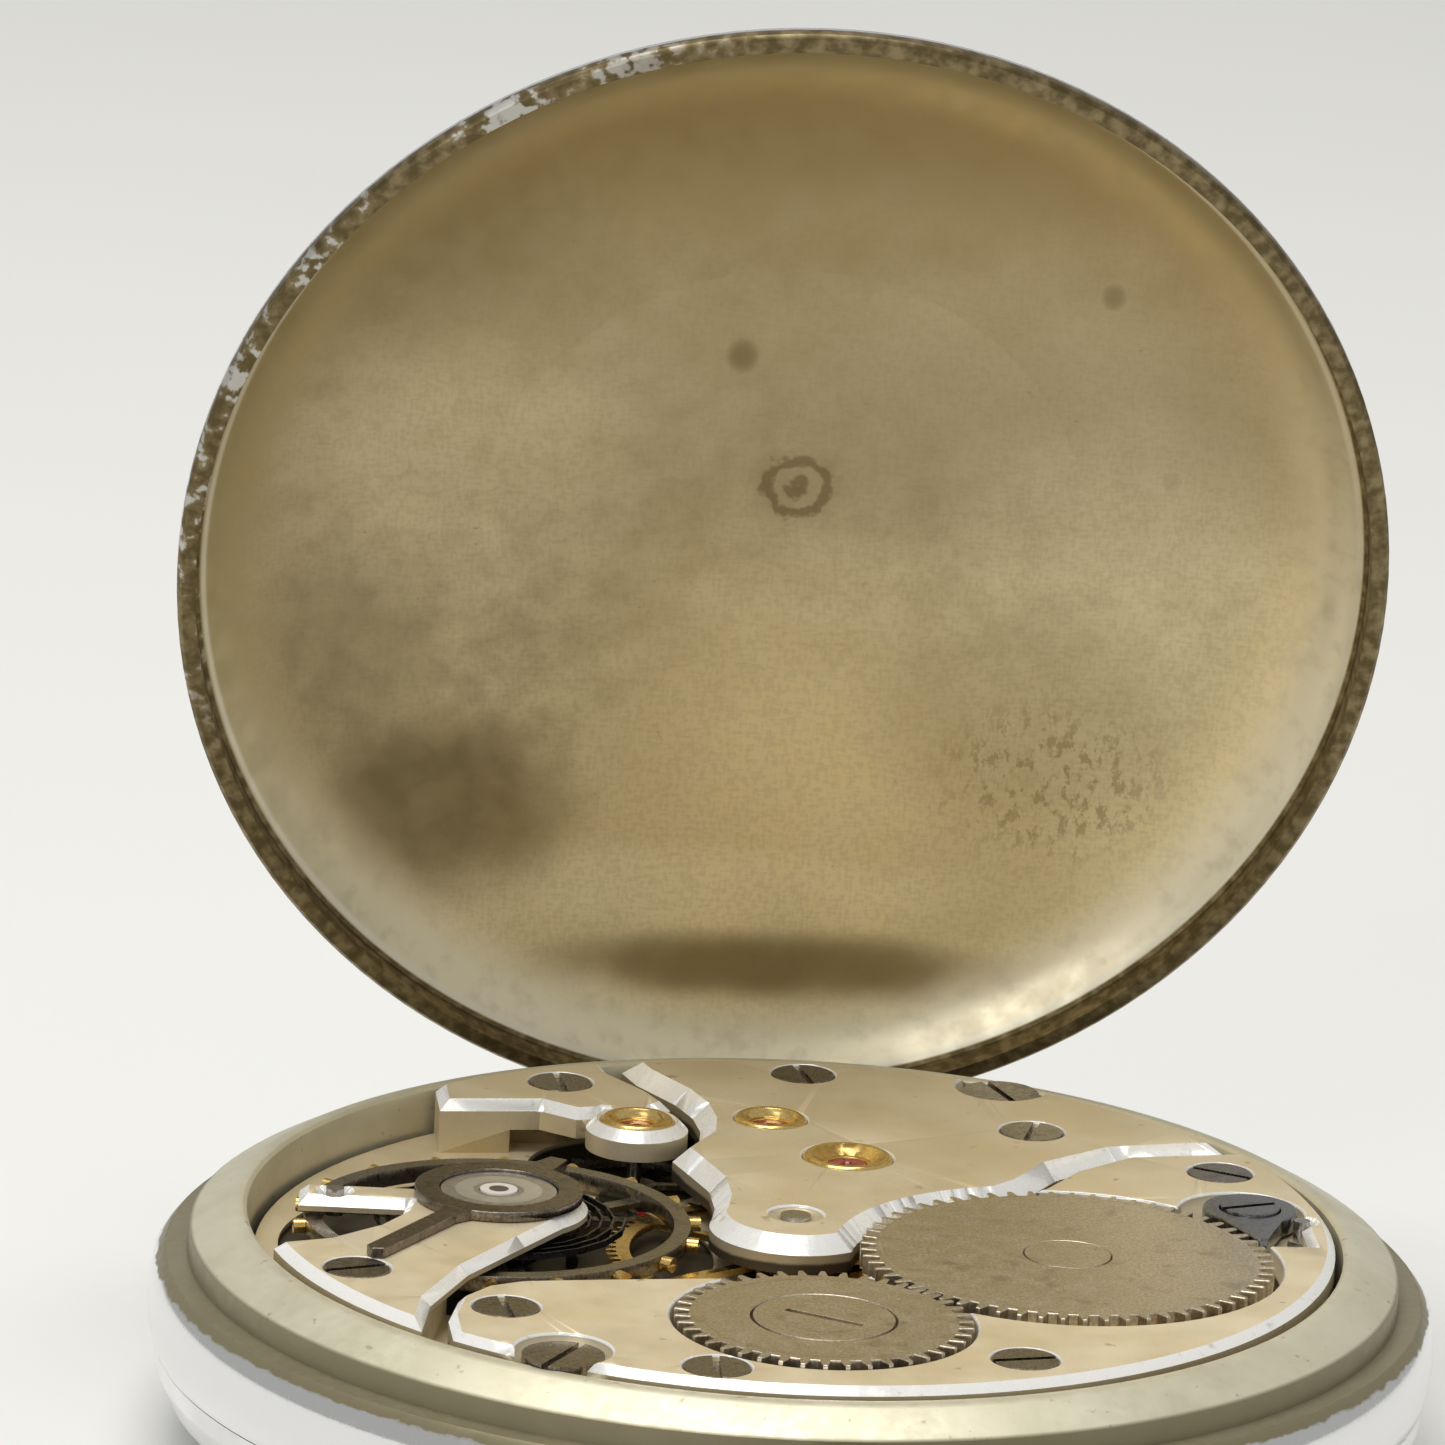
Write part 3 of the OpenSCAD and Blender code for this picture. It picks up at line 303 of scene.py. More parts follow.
def case_paint():
    """Plating outside, bare satin nickel on the ledge, the ring and inside, tarnished where they meet, with
    painted shade along the ring's foot and a little painted shade low on the opening's wall.
    """
    paint = Paint("case_middle_metal")
    reach = paint.radius()
    height = paint.axis(paint.mm, "Z")
    ragged = paint.math("MULTIPLY", paint.math("SUBTRACT", paint.noise(1.6, 4), 0.5), 0.35)
    top = paint.math("ADD", height, ragged)
    below_ledge = paint.span(top, LEDGE_Z - 0.38, LEDGE_Z - 0.28, 1, 0)
    outside = paint.math("MULTIPLY", paint.span(reach, LEDGE_EDGE_R, LEDGE_EDGE_R + 0.1), below_ledge)
    clouds = paint.span(paint.noise(0.4, 4), 0.3, 0.7)
    nickel = paint.mix(clouds, (0.62, 0.58, 0.42), (0.70, 0.66, 0.50))
    specks = paint.span(paint.noise(2.6, 3), 0.66, 0.74, 0, 0.6)
    nickel = paint.mix(specks, nickel, (0.36, 0.31, 0.19))
    ragged_reach = paint.math("ADD", reach, ragged)
    # Tarnish with painted shade along the ring's foot, darker still in the crease there as dirt and painted
    # shade
    tarnish_and_shade = paint.span(ragged_reach, RING_FOOT_R - 0.13, RING_FOOT_R + 0.07, 0, 0.82)
    edge = paint.span(ragged_reach, LEDGE_EDGE_R - 0.17, LEDGE_EDGE_R + 0.08, 0, 0.9)
    from_foot = paint.math("ABSOLUTE", paint.math("SUBTRACT", reach, RING_FOOT_R))
    crease_dirt_and_shade = paint.span(from_foot, 0.03, 0.2, 0.9, 0)
    dirt_and_shade = paint.math("MAXIMUM", paint.math("MAXIMUM", tarnish_and_shade, edge), crease_dirt_and_shade)
    nickel = paint.mix(dirt_and_shade, nickel, (0.20, 0.17, 0.09))
    # Painted shade: the opening's inner wall turns a little darker below the ring's top
    low = paint.span(height, RING_TOP - 0.5, RING_TOP - 0.2, 0.1, 0)
    inside = paint.math("MULTIPLY", paint.span(reach, OPENING_R + 0.1, OPENING_R + 0.2, 1, 0), low)
    nickel = paint.mix(inside, nickel, (0.40, 0.36, 0.26))
    polish, marks = chrome_scuffs(paint, paint.mm)
    satin = paint.span(paint.noise(2, 3), 0.3, 0.7, 0.36, 0.46)
    paint.part_plated(outside, nickel, polish, satin)
    paint.metal(paint.span(outside, 0, 1, 0.45, 1))
    pitted = paint.math("MULTIPLY", ragged, paint.inverse(outside))
    return paint.bump(paint.math("ADD", marks, pitted), 0.12, 0.03)


# Clouds of patina with painted shade and painted reflection inside the cover: side, distance from the
# hinge, two half widths, strength
DARK_PATINA_AND_SHADE = (
    (-12.5, 10.5, 5.5, 4.2, 0.75),
    (-16.5, 16.0, 4.0, 6.0, 0.40),
    (0.0, 43.0, 22.0, 7.0, 0.35),
    (-14.0, 36.0, 7.0, 6.0, 0.30),
    (1.0, 3.9, 9.5, 1.4, 0.90),
    (9.0, 26.0, 11.0, 5.0, 0.22),
    (9.5, 15.0, 6.0, 5.0, 0.25),
    (-1.9, 29.6, 0.6, 0.7, 0.75),
    (11.7, 32.6, 0.45, 0.55, 0.60),
    (-4.5, 40.0, 0.9, 0.5, 0.35),
    (14.5, 25.0, 0.5, 0.6, 0.35),
)
PALE_PATINA_AND_REFLECTIONS = (
    (-3.0, 7.0, 12.0, 1.9, 0.85),
    (12.0, 19.0, 8.0, 8.0, 0.60),
    (2.5, 16.0, 6.0, 8.0, 0.40),
    (-12.0, 24.0, 7.0, 6.0, 0.35),
    (15.0, 11.0, 4.0, 5.0, 0.45),
)
PUNCH_MARK = (0.5, 24.2)
FINGER_MARK = (11.0, 12.0, 4.5, 3.5)


def clouds_of(paint, side, away, wobble, table):
    """The strongest of several soft ellipses at a point."""
    most = None
    for u, v, half_u, half_v, strength in table:
        du = paint.math("DIVIDE", paint.math("SUBTRACT", side, u), half_u)
        dv = paint.math("DIVIDE", paint.math("SUBTRACT", away, v), half_v)
        far = paint.math("ADD", paint.math("MULTIPLY", du, du), paint.math("MULTIPLY", dv, dv))
        far = paint.math("ADD", far, paint.math("MULTIPLY", wobble, 0.9))
        cloud = paint.span(far, 0.0, 1.5, strength, 0)
        most = cloud if most is None else paint.math("MAXIMUM", most, cloud)
    return most


class CoverPaint(Paint):
    """Plating outside; inside, patina with painted reflection and shade on the floor, a paler wall with a
    painted reflection and a brown, worn rim with a painted highlight inside it.

    The cover stands open, so its places are turned back to the closed cover first: reach is the distance
    from the case's axis, side runs across, away runs from the hinge and height from the ledge.
    """

    def __init__(self):
        super().__init__("cover_metal", metallic=0.8)
        turn = self.tree.nodes.new("ShaderNodeVectorRotate")
        turn.rotation_type = "X_AXIS"
        turn.inputs["Center"].default_value = (0, HINGE_Y, LEDGE_Z)
        turn.inputs["Angle"].default_value = OPEN_ANGLE
        self.put(turn.inputs["Vector"], self.mm)
        self.closed = self.vector("SUBTRACT", turn.outputs["Vector"], (0, 0, LEDGE_Z))
        self.reach = self.radius(at=self.closed)
        self.side = self.axis(self.closed, "X")
        self.away = self.math("SUBTRACT", HINGE_Y, self.axis(self.closed, "Y"))
        self.height = self.axis(self.closed, "Z")
        self.wobble = self.math("SUBTRACT", self.noise(0.30, 5, at=self.closed), 0.5)
        self.ragged = self.math("SUBTRACT", self.noise(1.8, 4, at=self.closed), 0.5)
        grain = self.noise(7, 4, stretch=(1, 0.35, 1), at=self.closed)
        cross = self.noise(7, 4, stretch=(0.35, 1, 1), at=self.closed)
        self.weave = self.math("MULTIPLY", self.math("ADD", grain, cross), 0.5)

    def patina_and_reflection(self):
        """The floor's clouds of patina with painted reflection and shade: darker far from the hinge, paler
        near it.
        """
        tone = self.span(self.noise(0.12, 3, at=self.closed), 0.35, 0.65)
        floor = self.mix(tone, (0.54, 0.445, 0.265), (0.60, 0.505, 0.32))
        # Painted reflection and shade: darker far from the hinge, paler near it
        wavy = self.math("ADD", self.away, self.math("MULTIPLY", self.wobble, 8.0))
        floor = self.mix(self.span(wavy, 24, 41), floor, (0.36, 0.27, 0.125))
        floor = self.mix(self.span(wavy, 13, 25, 1, 0), floor, (0.78, 0.665, 0.405))
        # Pale patina with painted reflections and highlights
        pale_patina_and_reflection = clouds_of(self, self.side, self.away, self.wobble, PALE_PATINA_AND_REFLECTIONS)
        floor = self.mix(pale_patina_and_reflection, floor, (0.92, 0.81, 0.54))
        # Dark patina and spots with painted shade
        dark = clouds_of(self, self.side, self.away, self.wobble, DARK_PATINA_AND_SHADE)
        return self.mix(dark, floor, (0.235, 0.175, 0.075))

    def marked(self, floor):
        """The floor's brushed grain, freckles, a round punch mark and a smudged finger mark."""
        floor = self.mix(self.span(self.weave, 0.42, 0.62, 0, 0.20), floor, (0.34, 0.27, 0.14))
        freckles = self.span(self.noise(1.1, 5, at=self.closed, rough=0.7), 0.67, 0.76, 0, 0.5)
        floor = self.mix(freckles, floor, (0.25, 0.15, 0.06))
        du = self.math("SUBTRACT", self.side, PUNCH_MARK[0])
        dv = self.math("SUBTRACT", self.away, PUNCH_MARK[1])
        square = self.math("ADD", self.math("MULTIPLY", du, du), self.math("MULTIPLY", dv, dv))
        off = self.math("ADD", self.math("SQRT", square), self.ragged)
        rings = self.span(self.math("SINE", self.math("MULTIPLY", off, 7.0)), -0.5, 0.8, 0.15, 0.75)
        punch = self.math("MULTIPLY", self.span(off, 1.2, 2.0, 1, 0), rings)
        floor = self.mix(punch, floor, (0.22, 0.16, 0.07))
        smear = self.noise(2.2, 5, stretch=(1, 0.55, 1), at=self.closed, rough=0.7)
        finger = clouds_of(self, self.side, self.away, self.ragged, ((*FINGER_MARK, 1.0),))
        finger = self.math("MULTIPLY", finger, self.span(smear, 0.50, 0.60, 0, 0.55))
        return self.mix(finger, floor, (0.30, 0.20, 0.08))

    def walled(self, floor):
        """The wall, with a painted reflection that makes it paler near the hinge and on the right, fading
        into the floor.
        """
        from_axis = self.math("SUBTRACT", self.away, 21.6)
        # Painted reflection: the wall is paler near the hinge and on the right
        lit = self.math("SUBTRACT", self.math("MULTIPLY", self.side, 0.5), from_axis)
        wall = self.mix(self.span(lit, -9.0, 15.0), (0.46, 0.375, 0.20), (0.86, 0.775, 0.56))
        stains = self.span(self.noise(1.2, 3, at=self.closed), 0.45, 0.75, 0, 0.3)
        wall = self.mix(stains, wall, (0.45, 0.38, 0.24))
        inner = self.span(self.math("ADD", self.reach, self.wobble), COVER_R - 4.0, COVER_R - 1.6)
        return self.mix(inner, floor, wall)

    def rimmed(self, metal):
        """A painted highlight along a line inside the rim, then the brown rim, worn pale at the upper left.
        """
        # Painted highlight: a pale line just inside the rim
        from_highlight_line = self.math("ABSOLUTE", self.math("SUBTRACT", self.reach, COVER_R - 1.0))
        metal = self.mix(self.span(from_highlight_line, 0.02, 0.16, 0.8, 0), metal, (0.80, 0.76, 0.62))
        leftward = self.math("SUBTRACT", self.math("MULTIPLY", self.away, 0.6), self.side)
        upper_left = self.span(leftward, 28, 36)
        worn = self.span(self.math("ADD", self.ragged, self.wobble), 0.06, 0.16, 0, 0.9)
        worn = self.math("MULTIPLY", worn, upper_left)
        brown = self.mix(self.span(self.ragged, -0.15, 0.2), (0.115, 0.085, 0.036), (0.27, 0.21, 0.11))
        brown = self.mix(worn, brown, (0.56, 0.55, 0.52))
        return self.mix(self.span(self.reach, COVER_R - 0.9, COVER_R - 0.8), metal, brown)

    def outside(self, middle):
        """One on the outer face: by its direction, and in the flat middle by its height."""
        outward = (0, math.sin(OPEN_ANGLE), math.cos(OPEN_ANGLE))
        facing = self.span(self.vector("DOT_PRODUCT", self.normal, outward), 0.1, 0.16)
        shell = self.math("MULTIPLY", facing, self.span(self.height, 0.3, 0.6))
        apex = self.math("MULTIPLY", middle, self.span(self.height, 3.6, 3.7))
        return self.math("ADD", self.math("MULTIPLY", shell, self.inverse(middle)), apex)

    def flatten(self, middle):
        """Shades the flat middle from its faces, because its smooth normals meet at one point."""
        geometry = self.tree.nodes.new("ShaderNodeNewGeometry")
        true_part = self.vector("MULTIPLY", geometry.outputs["True Normal"], self.spread(middle))
        smooth_share = self.spread(self.inverse(middle))
        smooth_part = self.vector("MULTIPLY", geometry.outputs["Normal"], smooth_share)
        bump = self.shader.inputs["Normal"].links[0].from_node
        self.put(bump.inputs["Normal"], self.vector("ADD", true_part, smooth_part))


def cover_paint():
    paint = CoverPaint()
    inside = paint.rimmed(paint.walled(paint.marked(paint.patina_and_reflection())))
    middle = paint.span(paint.reach, COVER_MIDDLE_R, COVER_MIDDLE_R + 0.1, 1, 0)
    polish, marks = chrome_scuffs(paint, paint.closed)
    satin = paint.span(paint.noise(0.8, 4, at=paint.closed), 0.3, 0.7, 0.32, 0.44)
    paint.part_plated(paint.outside(middle), inside, polish, satin)
    paint.bump(paint.math("ADD", paint.math("MULTIPLY", paint.weave, 0.6), marks), 0.10, 0.03)
    paint.flatten(middle)
    return paint


def blued_paint():
    paint = Paint("blued_steel", roughness=0.2)
    heat = paint.span(paint.noise(0.8, 3), 0.3, 0.7)
    paint.colour(paint.mix(heat, (0.015, 0.03, 0.12), (0.04, 0.03, 0.14)))
    return paint.bump(paint.noise(9, 3), 0.08, 0.01)


def enamel_paint():
    paint = Paint("enamel", metallic=0.0, roughness=0.12)
    tone = paint.span(paint.noise(0.3, 3), 0.35, 0.65)
    paint.colour(paint.mix(tone, (0.86, 0.85, 0.80), (0.80, 0.78, 0.71)))
    paint.shader.inputs["Coat Weight"].default_value = 0.4
    return paint.bump(paint.noise(0.8, 2), 0.05, 0.02)


def print_paint():
    paint = Paint("dial_print", metallic=0.0, roughness=0.4)
    fade = paint.span(paint.noise(5, 4), 0.4, 0.7)
    paint.colour(paint.mix(fade, (0.010, 0.010, 0.011), (0.030, 0.028, 0.026)))
    return paint


def glass_paint():
    paint = Paint("crystal_glass", (0.97, 0.98, 0.98), metallic=0.0, roughness=0.02)
    paint.shader.inputs["Transmission Weight"].default_value = 1.0
    paint.shader.inputs["IOR"].default_value = 1.49
    paint.rough(paint.span(paint.noise(1.4, 5, stretch=(1, 6, 1)), 0.55, 0.75, 0.01, 0.10))
    return paint


def cap_paint():
    """The balance end piece: a pale stone with a dark disc painted as shade in its pivot hole, in a steel
    setting with a bright ring painted as a highlight.
    """
    stone_r = 0.7
    hole_r = 0.36
    collar_r = 1.25
    paint = Paint("end_piece")
    reach = paint.radius(BALANCE)
    stone = paint.span(reach, stone_r - 0.01, stone_r + 0.01, 1, 0)
    steel = paint.mix(paint.span(paint.noise(6, 3), 0.3, 0.7), (0.46, 0.43, 0.38), (0.62, 0.60, 0.56))
    # Painted shade: a dark disc at the pivot hole
    hole_shade = paint.span(reach, hole_r - 0.02, hole_r + 0.02, 1, 0)
    stone_tone = paint.mix(hole_shade, (0.78, 0.74, 0.68), (0.10, 0.07, 0.06))
    # Painted highlight: a bright ring round the stone
    from_collar = paint.math("ABSOLUTE", paint.math("SUBTRACT", reach, collar_r))
    collar_highlight = paint.span(from_collar, 0.30, 0.36, 0.8, 0)
    steel = paint.mix(collar_highlight, steel, (0.93, 0.92, 0.89))
    paint.colour(paint.mix(stone, steel, stone_tone))
    paint.metal(paint.span(stone, 0, 1, 0.8, 0))
    paint.rough(paint.span(paint.noise(2, 2), 0.3, 0.7, 0.10, 0.24))
    return paint


GILT = gilt_paint("gilt_frosted", shade=0.2).material
DEEP_GILT = gilt_paint("gilt_frosted_deep", shade_below=RECESS_SHADE_Z).material
POLISHED = polished_paint().material
STEEL = steel_paint("steel", (0.36, 0.34, 0.31), (0.52, 0.50, 0.46), 0.28).material
SCREW = steel_paint("screw_steel", (0.17, 0.145, 0.115), (0.36, 0.32, 0.27), 0.27).material
REGULATOR = steel_paint("regulator_steel", (0.15, 0.125, 0.10), (0.30, 0.26, 0.22), 0.24).material
CLICK_STEEL = steel_paint("click_steel", (0.16, 0.16, 0.17), (0.32, 0.32, 0.33), 0.22).material
# Plain brass is a wheel's brass without its pinion, so the pinion's axis is out of the way
BRASS = wheel_paint("brass", (200, 0), 0.1).material
GOLD = wheel_paint("gold_settings", (300, 0), 0.1).material
RUBY = ruby_paint().material
CHROME = chrome_paint().material
BLUED = blued_paint().material
PRINT = print_paint().material

FINISH = {
    "case_middle": case_paint().material,
    "back_cover": cover_paint().material,
    "pendant": CHROME,
    "bow": CHROME,
    "crown": CHROME,
    "bezel": CHROME,
    "crystal": glass_paint().material,
    "back_hinge_pin": STEEL,
    "dial": enamel_paint().material,
    "hour_hand": BLUED,
    "minute_hand": BLUED,
    "seconds_hand": BLUED,
    "hour_wheel": BRASS,
    "minute_wheel": BRASS,
    "cannon_pinion": STEEL,
    "setting_wheel": STEEL,
    "main_plate": gilt_paint("gilt_plate_below", shade=0.2, shade_below=PLATE_RECESS_SHADE_Z).material,
    "pallet_cock": GILT,
    "barrel": BRASS,
    "barrel_cover": BRASS,
    "barrel_arbor": STEEL,
    "mainspring": STEEL,
    "ratchet_wheel": satin_steel_paint("ratchet_steel", BARREL, ring=6.75).material,
    "ratchet_screw": satin_steel_paint("ratchet_cap_steel", BARREL).material,
    "crown_wheel": satin_steel_paint("crown_wheel_steel", CROWN_WHEEL, ring=4.3).material,
    "crown_wheel_screw": satin_steel_paint("crown_screw_steel", CROWN_WHEEL, ring=1.55).material,
    "click": CLICK_STEEL,
    "click_screw": CLICK_STEEL,
    "click_spring": STEEL,
    "center_wheel": wheel_paint("centre_wheel_metal", CENTER, 1.15).material,
    "third_wheel": wheel_paint("third_wheel_metal", THIRD, 0.8).material,
    "fourth_wheel": wheel_paint("fourth_wheel_metal", FOURTH, 0.7).material,
    "escape_wheel": STEEL,
    "pallet_fork": STEEL,
    "pallet_stones": RUBY,
    "balance_wheel": steel_paint("balance_nickel", (0.20, 0.17, 0.13), (0.36, 0.32, 0.25), 0.3).material,
    "balance_screws": GOLD,
    "balance_staff": STEEL,
    "impulse_roller": STEEL,
    "hairspring": steel_paint("spring_steel", (0.03, 0.03, 0.04), (0.07, 0.07, 0.09), 0.3).material,
    "hairspring_stud": STEEL,
    "regulator": REGULATOR,
    "balance_end_cap": cap_paint().material,
    "jewel_settings": GOLD,
    "train_jewels": RUBY,
    "bridge_screws": SCREW,
    "case_screws": SCREW,
    "winding_stem": STEEL,
    "winding_pinion": STEEL,
    "clutch_wheel": STEEL,
    "setting_lever": STEEL,
    "clutch_lever": STEEL,
}

# Width of the broken edge on CAD nodes that stay as they are, in millimetres
EDGE = {
    "ratchet_wheel": 0.05,
    "crown_wheel": 0.05,
    "ratchet_screw": 0.12,
    "crown_wheel_screw": 0.08,
    "click": 0.08,
    "click_screw": 0.05,
    "bridge_screws": 0.05,
    "case_screws": 0.06,
    "regulator": 0.05,
    "balance_end_cap": 0.06,
    "balance_wheel": 0.04,
    "center_wheel": 0.03,
    "jewel_settings": 0.03,
    "pallet_cock": 0.08,
    "case_middle": 0.05,
    "back_cover": 0.04,
}

# CAD nodes whose shading normals are worked out afresh
REFACED = ("back_cover",)


def dress(name, material):
    """Gives a CAD node its material and softly broken edges."""
    node = NODES[name]
    node.data.materials.clear()
    node.data.materials.append(material)
    if name in REFACED:
        node.data.normals_split_custom_set([(0, 0, 0)] * len(node.data.loops))
    if name in EDGE:
        weld = node.modifiers.new("join_faces", "WELD")
        weld.merge_threshold = WELD * MM
        edge = node.modifiers.new("broken_edge", "BEVEL")
        edge.width = EDGE[name] * MM
        edge.segments = 2
        edge.limit_method = "ANGLE"
        edge.angle_limit = math.radians(35)
        edge.harden_normals = True
        edge.use_clamp_overlap = True


for name, material in FINISH.items():
    dress(name, material)


# ------------------------------------------------------------------ bridges with polished chamfers


# The chamfer round a recess, how far a cutter stands clear of the metal, the longest run past an edge's
# end, how near a recess's wall an edge has to be and the fewest edges that make a recess; millimetres
RECESS_CHAMFER = 0.08
MARGIN = 0.05
FREE_END = 0.8
OVERLAP = 0.004
ON_WALL = 0.03
FEWEST_EDGES = 8

# Round recesses in the bridges, as x, y and radius
SCREW_SEATS = [
    (x, y, 1.2) for x, y in (
        (1.7, 17.4), (9.7, 10.8), (16.2, 6.2), (6.7, -15.9), (-4.15, -17.45), (-11.1, -11.4),
        (-16.15, -7.4), (-7.6, 15.6),
    )
]
CASE_SCREW_SEATS = [(9.1, 16.3, 1.7), (-9.35, -15.95, 1.7)]
JEWEL_SEATS = [(*THIRD, 1.68), (*FOURTH, 1.38), (*ESCAPE, 1.38), (0.0, 0.0, 1.0)]
WHEEL_SEATS = [(*BARREL, 7.75), (*CROWN_WHEEL, 5.4), (*CLICK_SEAT, 2.3)]

# The chamfer's width along a bridge's outline, the recesses in the bridge and its gilding
CHAMFERS = {
    "barrel_bridge": (0.30, SCREW_SEATS + CASE_SCREW_SEATS + WHEEL_SEATS, DEEP_GILT),
    "train_bridge": (0.60, SCREW_SEATS + CASE_SCREW_SEATS + JEWEL_SEATS, DEEP_GILT),
    "escape_cock": (0.38, SCREW_SEATS + JEWEL_SEATS, GILT),
    "balance_cock": (0.35, SCREW_SEATS, GILT),
}


def top_edges(bm):
    """Edges between the upper surface and an upright wall, each with its inward direction."""
    found = []
    for edge in bm.edges:
        if len(edge.link_loops) != 2 or any(abs(v.co.z - BRIDGE_TOP * MM) > WELD * MM for v in edge.verts):
            continue
        upper = [loop for loop in edge.link_loops if loop.face.normal.z > 0.95]
        upright = [loop for loop in edge.link_loops if abs(loop.face.normal.z) < 0.1]
        if upper and upright:
            along = upper[0].link_loop_next.vert.co - upper[0].vert.co
            found.append((edge, Vector((-along.y, along.x, 0)).normalized()))
    return found


def on_seat(edge, seat):
    """Whether both ends of an edge lie on a round recess's wall."""
    x, y, reach = seat
    return all(abs(math.hypot(v.co.x / MM - x, v.co.y / MM - y) - reach) < ON_WALL for v in edge.verts)


def overrun(edge, vert, outline, width):
    """How far a chamfer runs on past the end of its edge, so that it meets the next one."""
    others = [other for other in vert.link_edges if other in outline and other is not edge]
    if len(others) != 1:
        return FREE_END
    first = (edge.other_vert(vert).co - vert.co).normalized()
    second = (vert.co - others[0].other_vert(vert).co).normalized()
    turn = first.angle(second, 0.0)
    return min(width * math.tan(min(turn, 2.4) / 2), FREE_END) + OVERLAP


def add_wedge(cutter, start, end, inward, width):
    """Adds a three-sided prism that takes a 45 degree chamfer off the edge from start to end."""
    top = BRIDGE_TOP * MM
    section = (
        (-MARGIN * MM, top - (width + MARGIN) * MM),
        ((width + MARGIN) * MM, top + MARGIN * MM),
        (-MARGIN * MM, top + MARGIN * MM),
    )
    rings = []
    for end_point in (start, end):
        flat = Vector((end_point.x, end_point.y, 0))
        rings.append([cutter.verts.new(flat + inward * i + Vector((0, 0, z))) for i, z in section])
    cutter.faces.new(rings[0])
    cutter.faces.new(rings[1])
    for i in range(3):
        j = (i + 1) % 3
        cutter.faces.new((rings[0][i], rings[0][j], rings[1][j], rings[1][i]))


def add_cone(cutter, seat):
    """Adds a cone that breaks the upper edge of a round recess."""
    x, y, reach = seat
    middle = BRIDGE_TOP - RECESS_CHAMFER / 2
    bmesh.ops.create_cone(
        cutter,
        cap_ends=True,
        segments=72,
        radius1=(reach - MARGIN) * MM,
        radius2=(reach + RECESS_CHAMFER + MARGIN) * MM,
        depth=(RECESS_CHAMFER + 2 * MARGIN) * MM,
        matrix=Matrix.Translation((x * MM, y * MM, middle * MM)),
    )


def new_object(name, bm, *materials):
    mesh = bpy.data.meshes.new(name)
    bm.to_mesh(mesh)
    bm.free()
    for material in materials:
        mesh.materials.append(material)
    made = bpy.data.objects.new(name, mesh)
    bpy.context.scene.collection.objects.link(made)
    return made


def chamfered(name, width, seats, gilt):
    """Copies a bridge with a wide polished chamfer along its outline and narrow ones round its recesses."""
    bm = bmesh.new()
    bm.from_mesh(NODES[name].data)
    bmesh.ops.remove_doubles(bm, verts=bm.verts, dist=WELD * MM)
    bmesh.ops.recalc_face_normals(bm, faces=bm.faces)
    cutter = bmesh.new()
    edges = top_edges(bm)
    for seat in seats:
        if sum(on_seat(edge, seat) for edge, inward in edges) > FEWEST_EDGES:
            add_cone(cutter, seat)
    outline = {edge: inward for edge, inward in edges if not any(on_seat(edge, seat) for seat in seats)}
    for edge, inward in outline.items():
        one, two = edge.verts
        along = (two.co - one.co).normalized()
        start = one.co - along * overrun(edge, one, outline, width) * MM
        end = two.co + along * overrun(edge, two, outline, width) * MM
        add_wedge(cutter, start, end, inward, width)
    bmesh.ops.recalc_face_normals(cutter, faces=cutter.faces)
    trim = new_object(name + "_trim", cutter, POLISHED)
    piece = new_object(name + "_finished", bm, gilt)
    cut = piece.modifiers.new("chamfer", "BOOLEAN")
    cut.operation = "DIFFERENCE"
    cut.solver = "EXACT"
    cut.use_self = True
    cut.material_mode = "TRANSFER"
    cut.object = trim
    bpy.context.view_layer.update()
    view = bpy.context.evaluated_depsgraph_get()
    mesh = bpy.data.meshes.new_from_object(piece.evaluated_get(view))
    piece.modifiers.clear()
    piece.data = mesh
    bpy.data.objects.remove(trim)
    for face in mesh.polygons:
        face.use_smooth = True
    mesh.set_sharp_from_angle(angle=math.radians(28))
    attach(piece, "case")
    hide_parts(name)


for bridge, (width, seats, gilt) in CHAMFERS.items():
    chamfered(bridge, width, seats, gilt)


# ------------------------------------------------------------------ printing on the dial


# The print's thickness, and the numerals' radius, height, stroke and letter widths, in millimetres
PRINT_T = 0.015
NUMERAL_R = 16.0
NUMERAL_H = 2.6
STEM_W = 0.30
GLYPH_W = {"I": 0.62, "V": 1.30, "X": 1.30}
NUMERALS = ("XII", "I", "II", "III", "IIII", "V", "VI", "VII", "VIII", "IX", "X", "XI")


def add_bar(bm, place, start, end, width):
    """Adds a thin flat bar from start to end, both x, y in millimetres, carried by a placement."""
    one, two = Vector((*start, 0)), Vector((*end, 0))
    along = (two - one).normalized()
    side = Vector((-along.y, along.x, 0)) * width / 2
    corners = (one - side, two - side, two + side, one + side)
    rings = []
    for lift in (0.0, PRINT_T):
        rings.append([bm.verts.new(place @ ((c + Vector((0, 0, lift))) * MM)) for c in corners])
    bm.faces.new(rings[0])
    bm.faces.new(rings[1])
    for i in range(4):
        j = (i + 1) % 4
        bm.faces.new((rings[0][i], rings[0][j], rings[1][j], rings[1][i]))


def glyph_bars(letter, x):
    """The strokes of one letter of a Roman numeral whose left side is at x, as pairs of ends."""
    half = NUMERAL_H / 2
    right = x + GLYPH_W[letter]
    middle = (x + right) / 2
    if letter == "I":
        return (((middle, -half), (middle, half)),)
    if letter == "V":
        return (((x + 0.15, half), (middle, -half)), ((right - 0.15, half), (middle, -half)))
    return (((x + 0.15, half), (right - 0.15, -half)), ((x + 0.15, -half), (right - 0.15, half)))


def dial_place(centre, degrees, radius, depth):
    """Placement on the dial's face: degrees clockwise from the pendant, as seen from the dial side."""
    turn = Matrix.Rotation(math.pi + math.radians(degrees), 4, "Z")
    offset = Matrix.Translation((0, radius * MM, 0))
    flip = Matrix.Diagonal((-1, 1, 1, 1))
    return Matrix.Translation((centre[0] * MM, centre[1] * MM, depth * MM)) @ turn @ offset @ flip


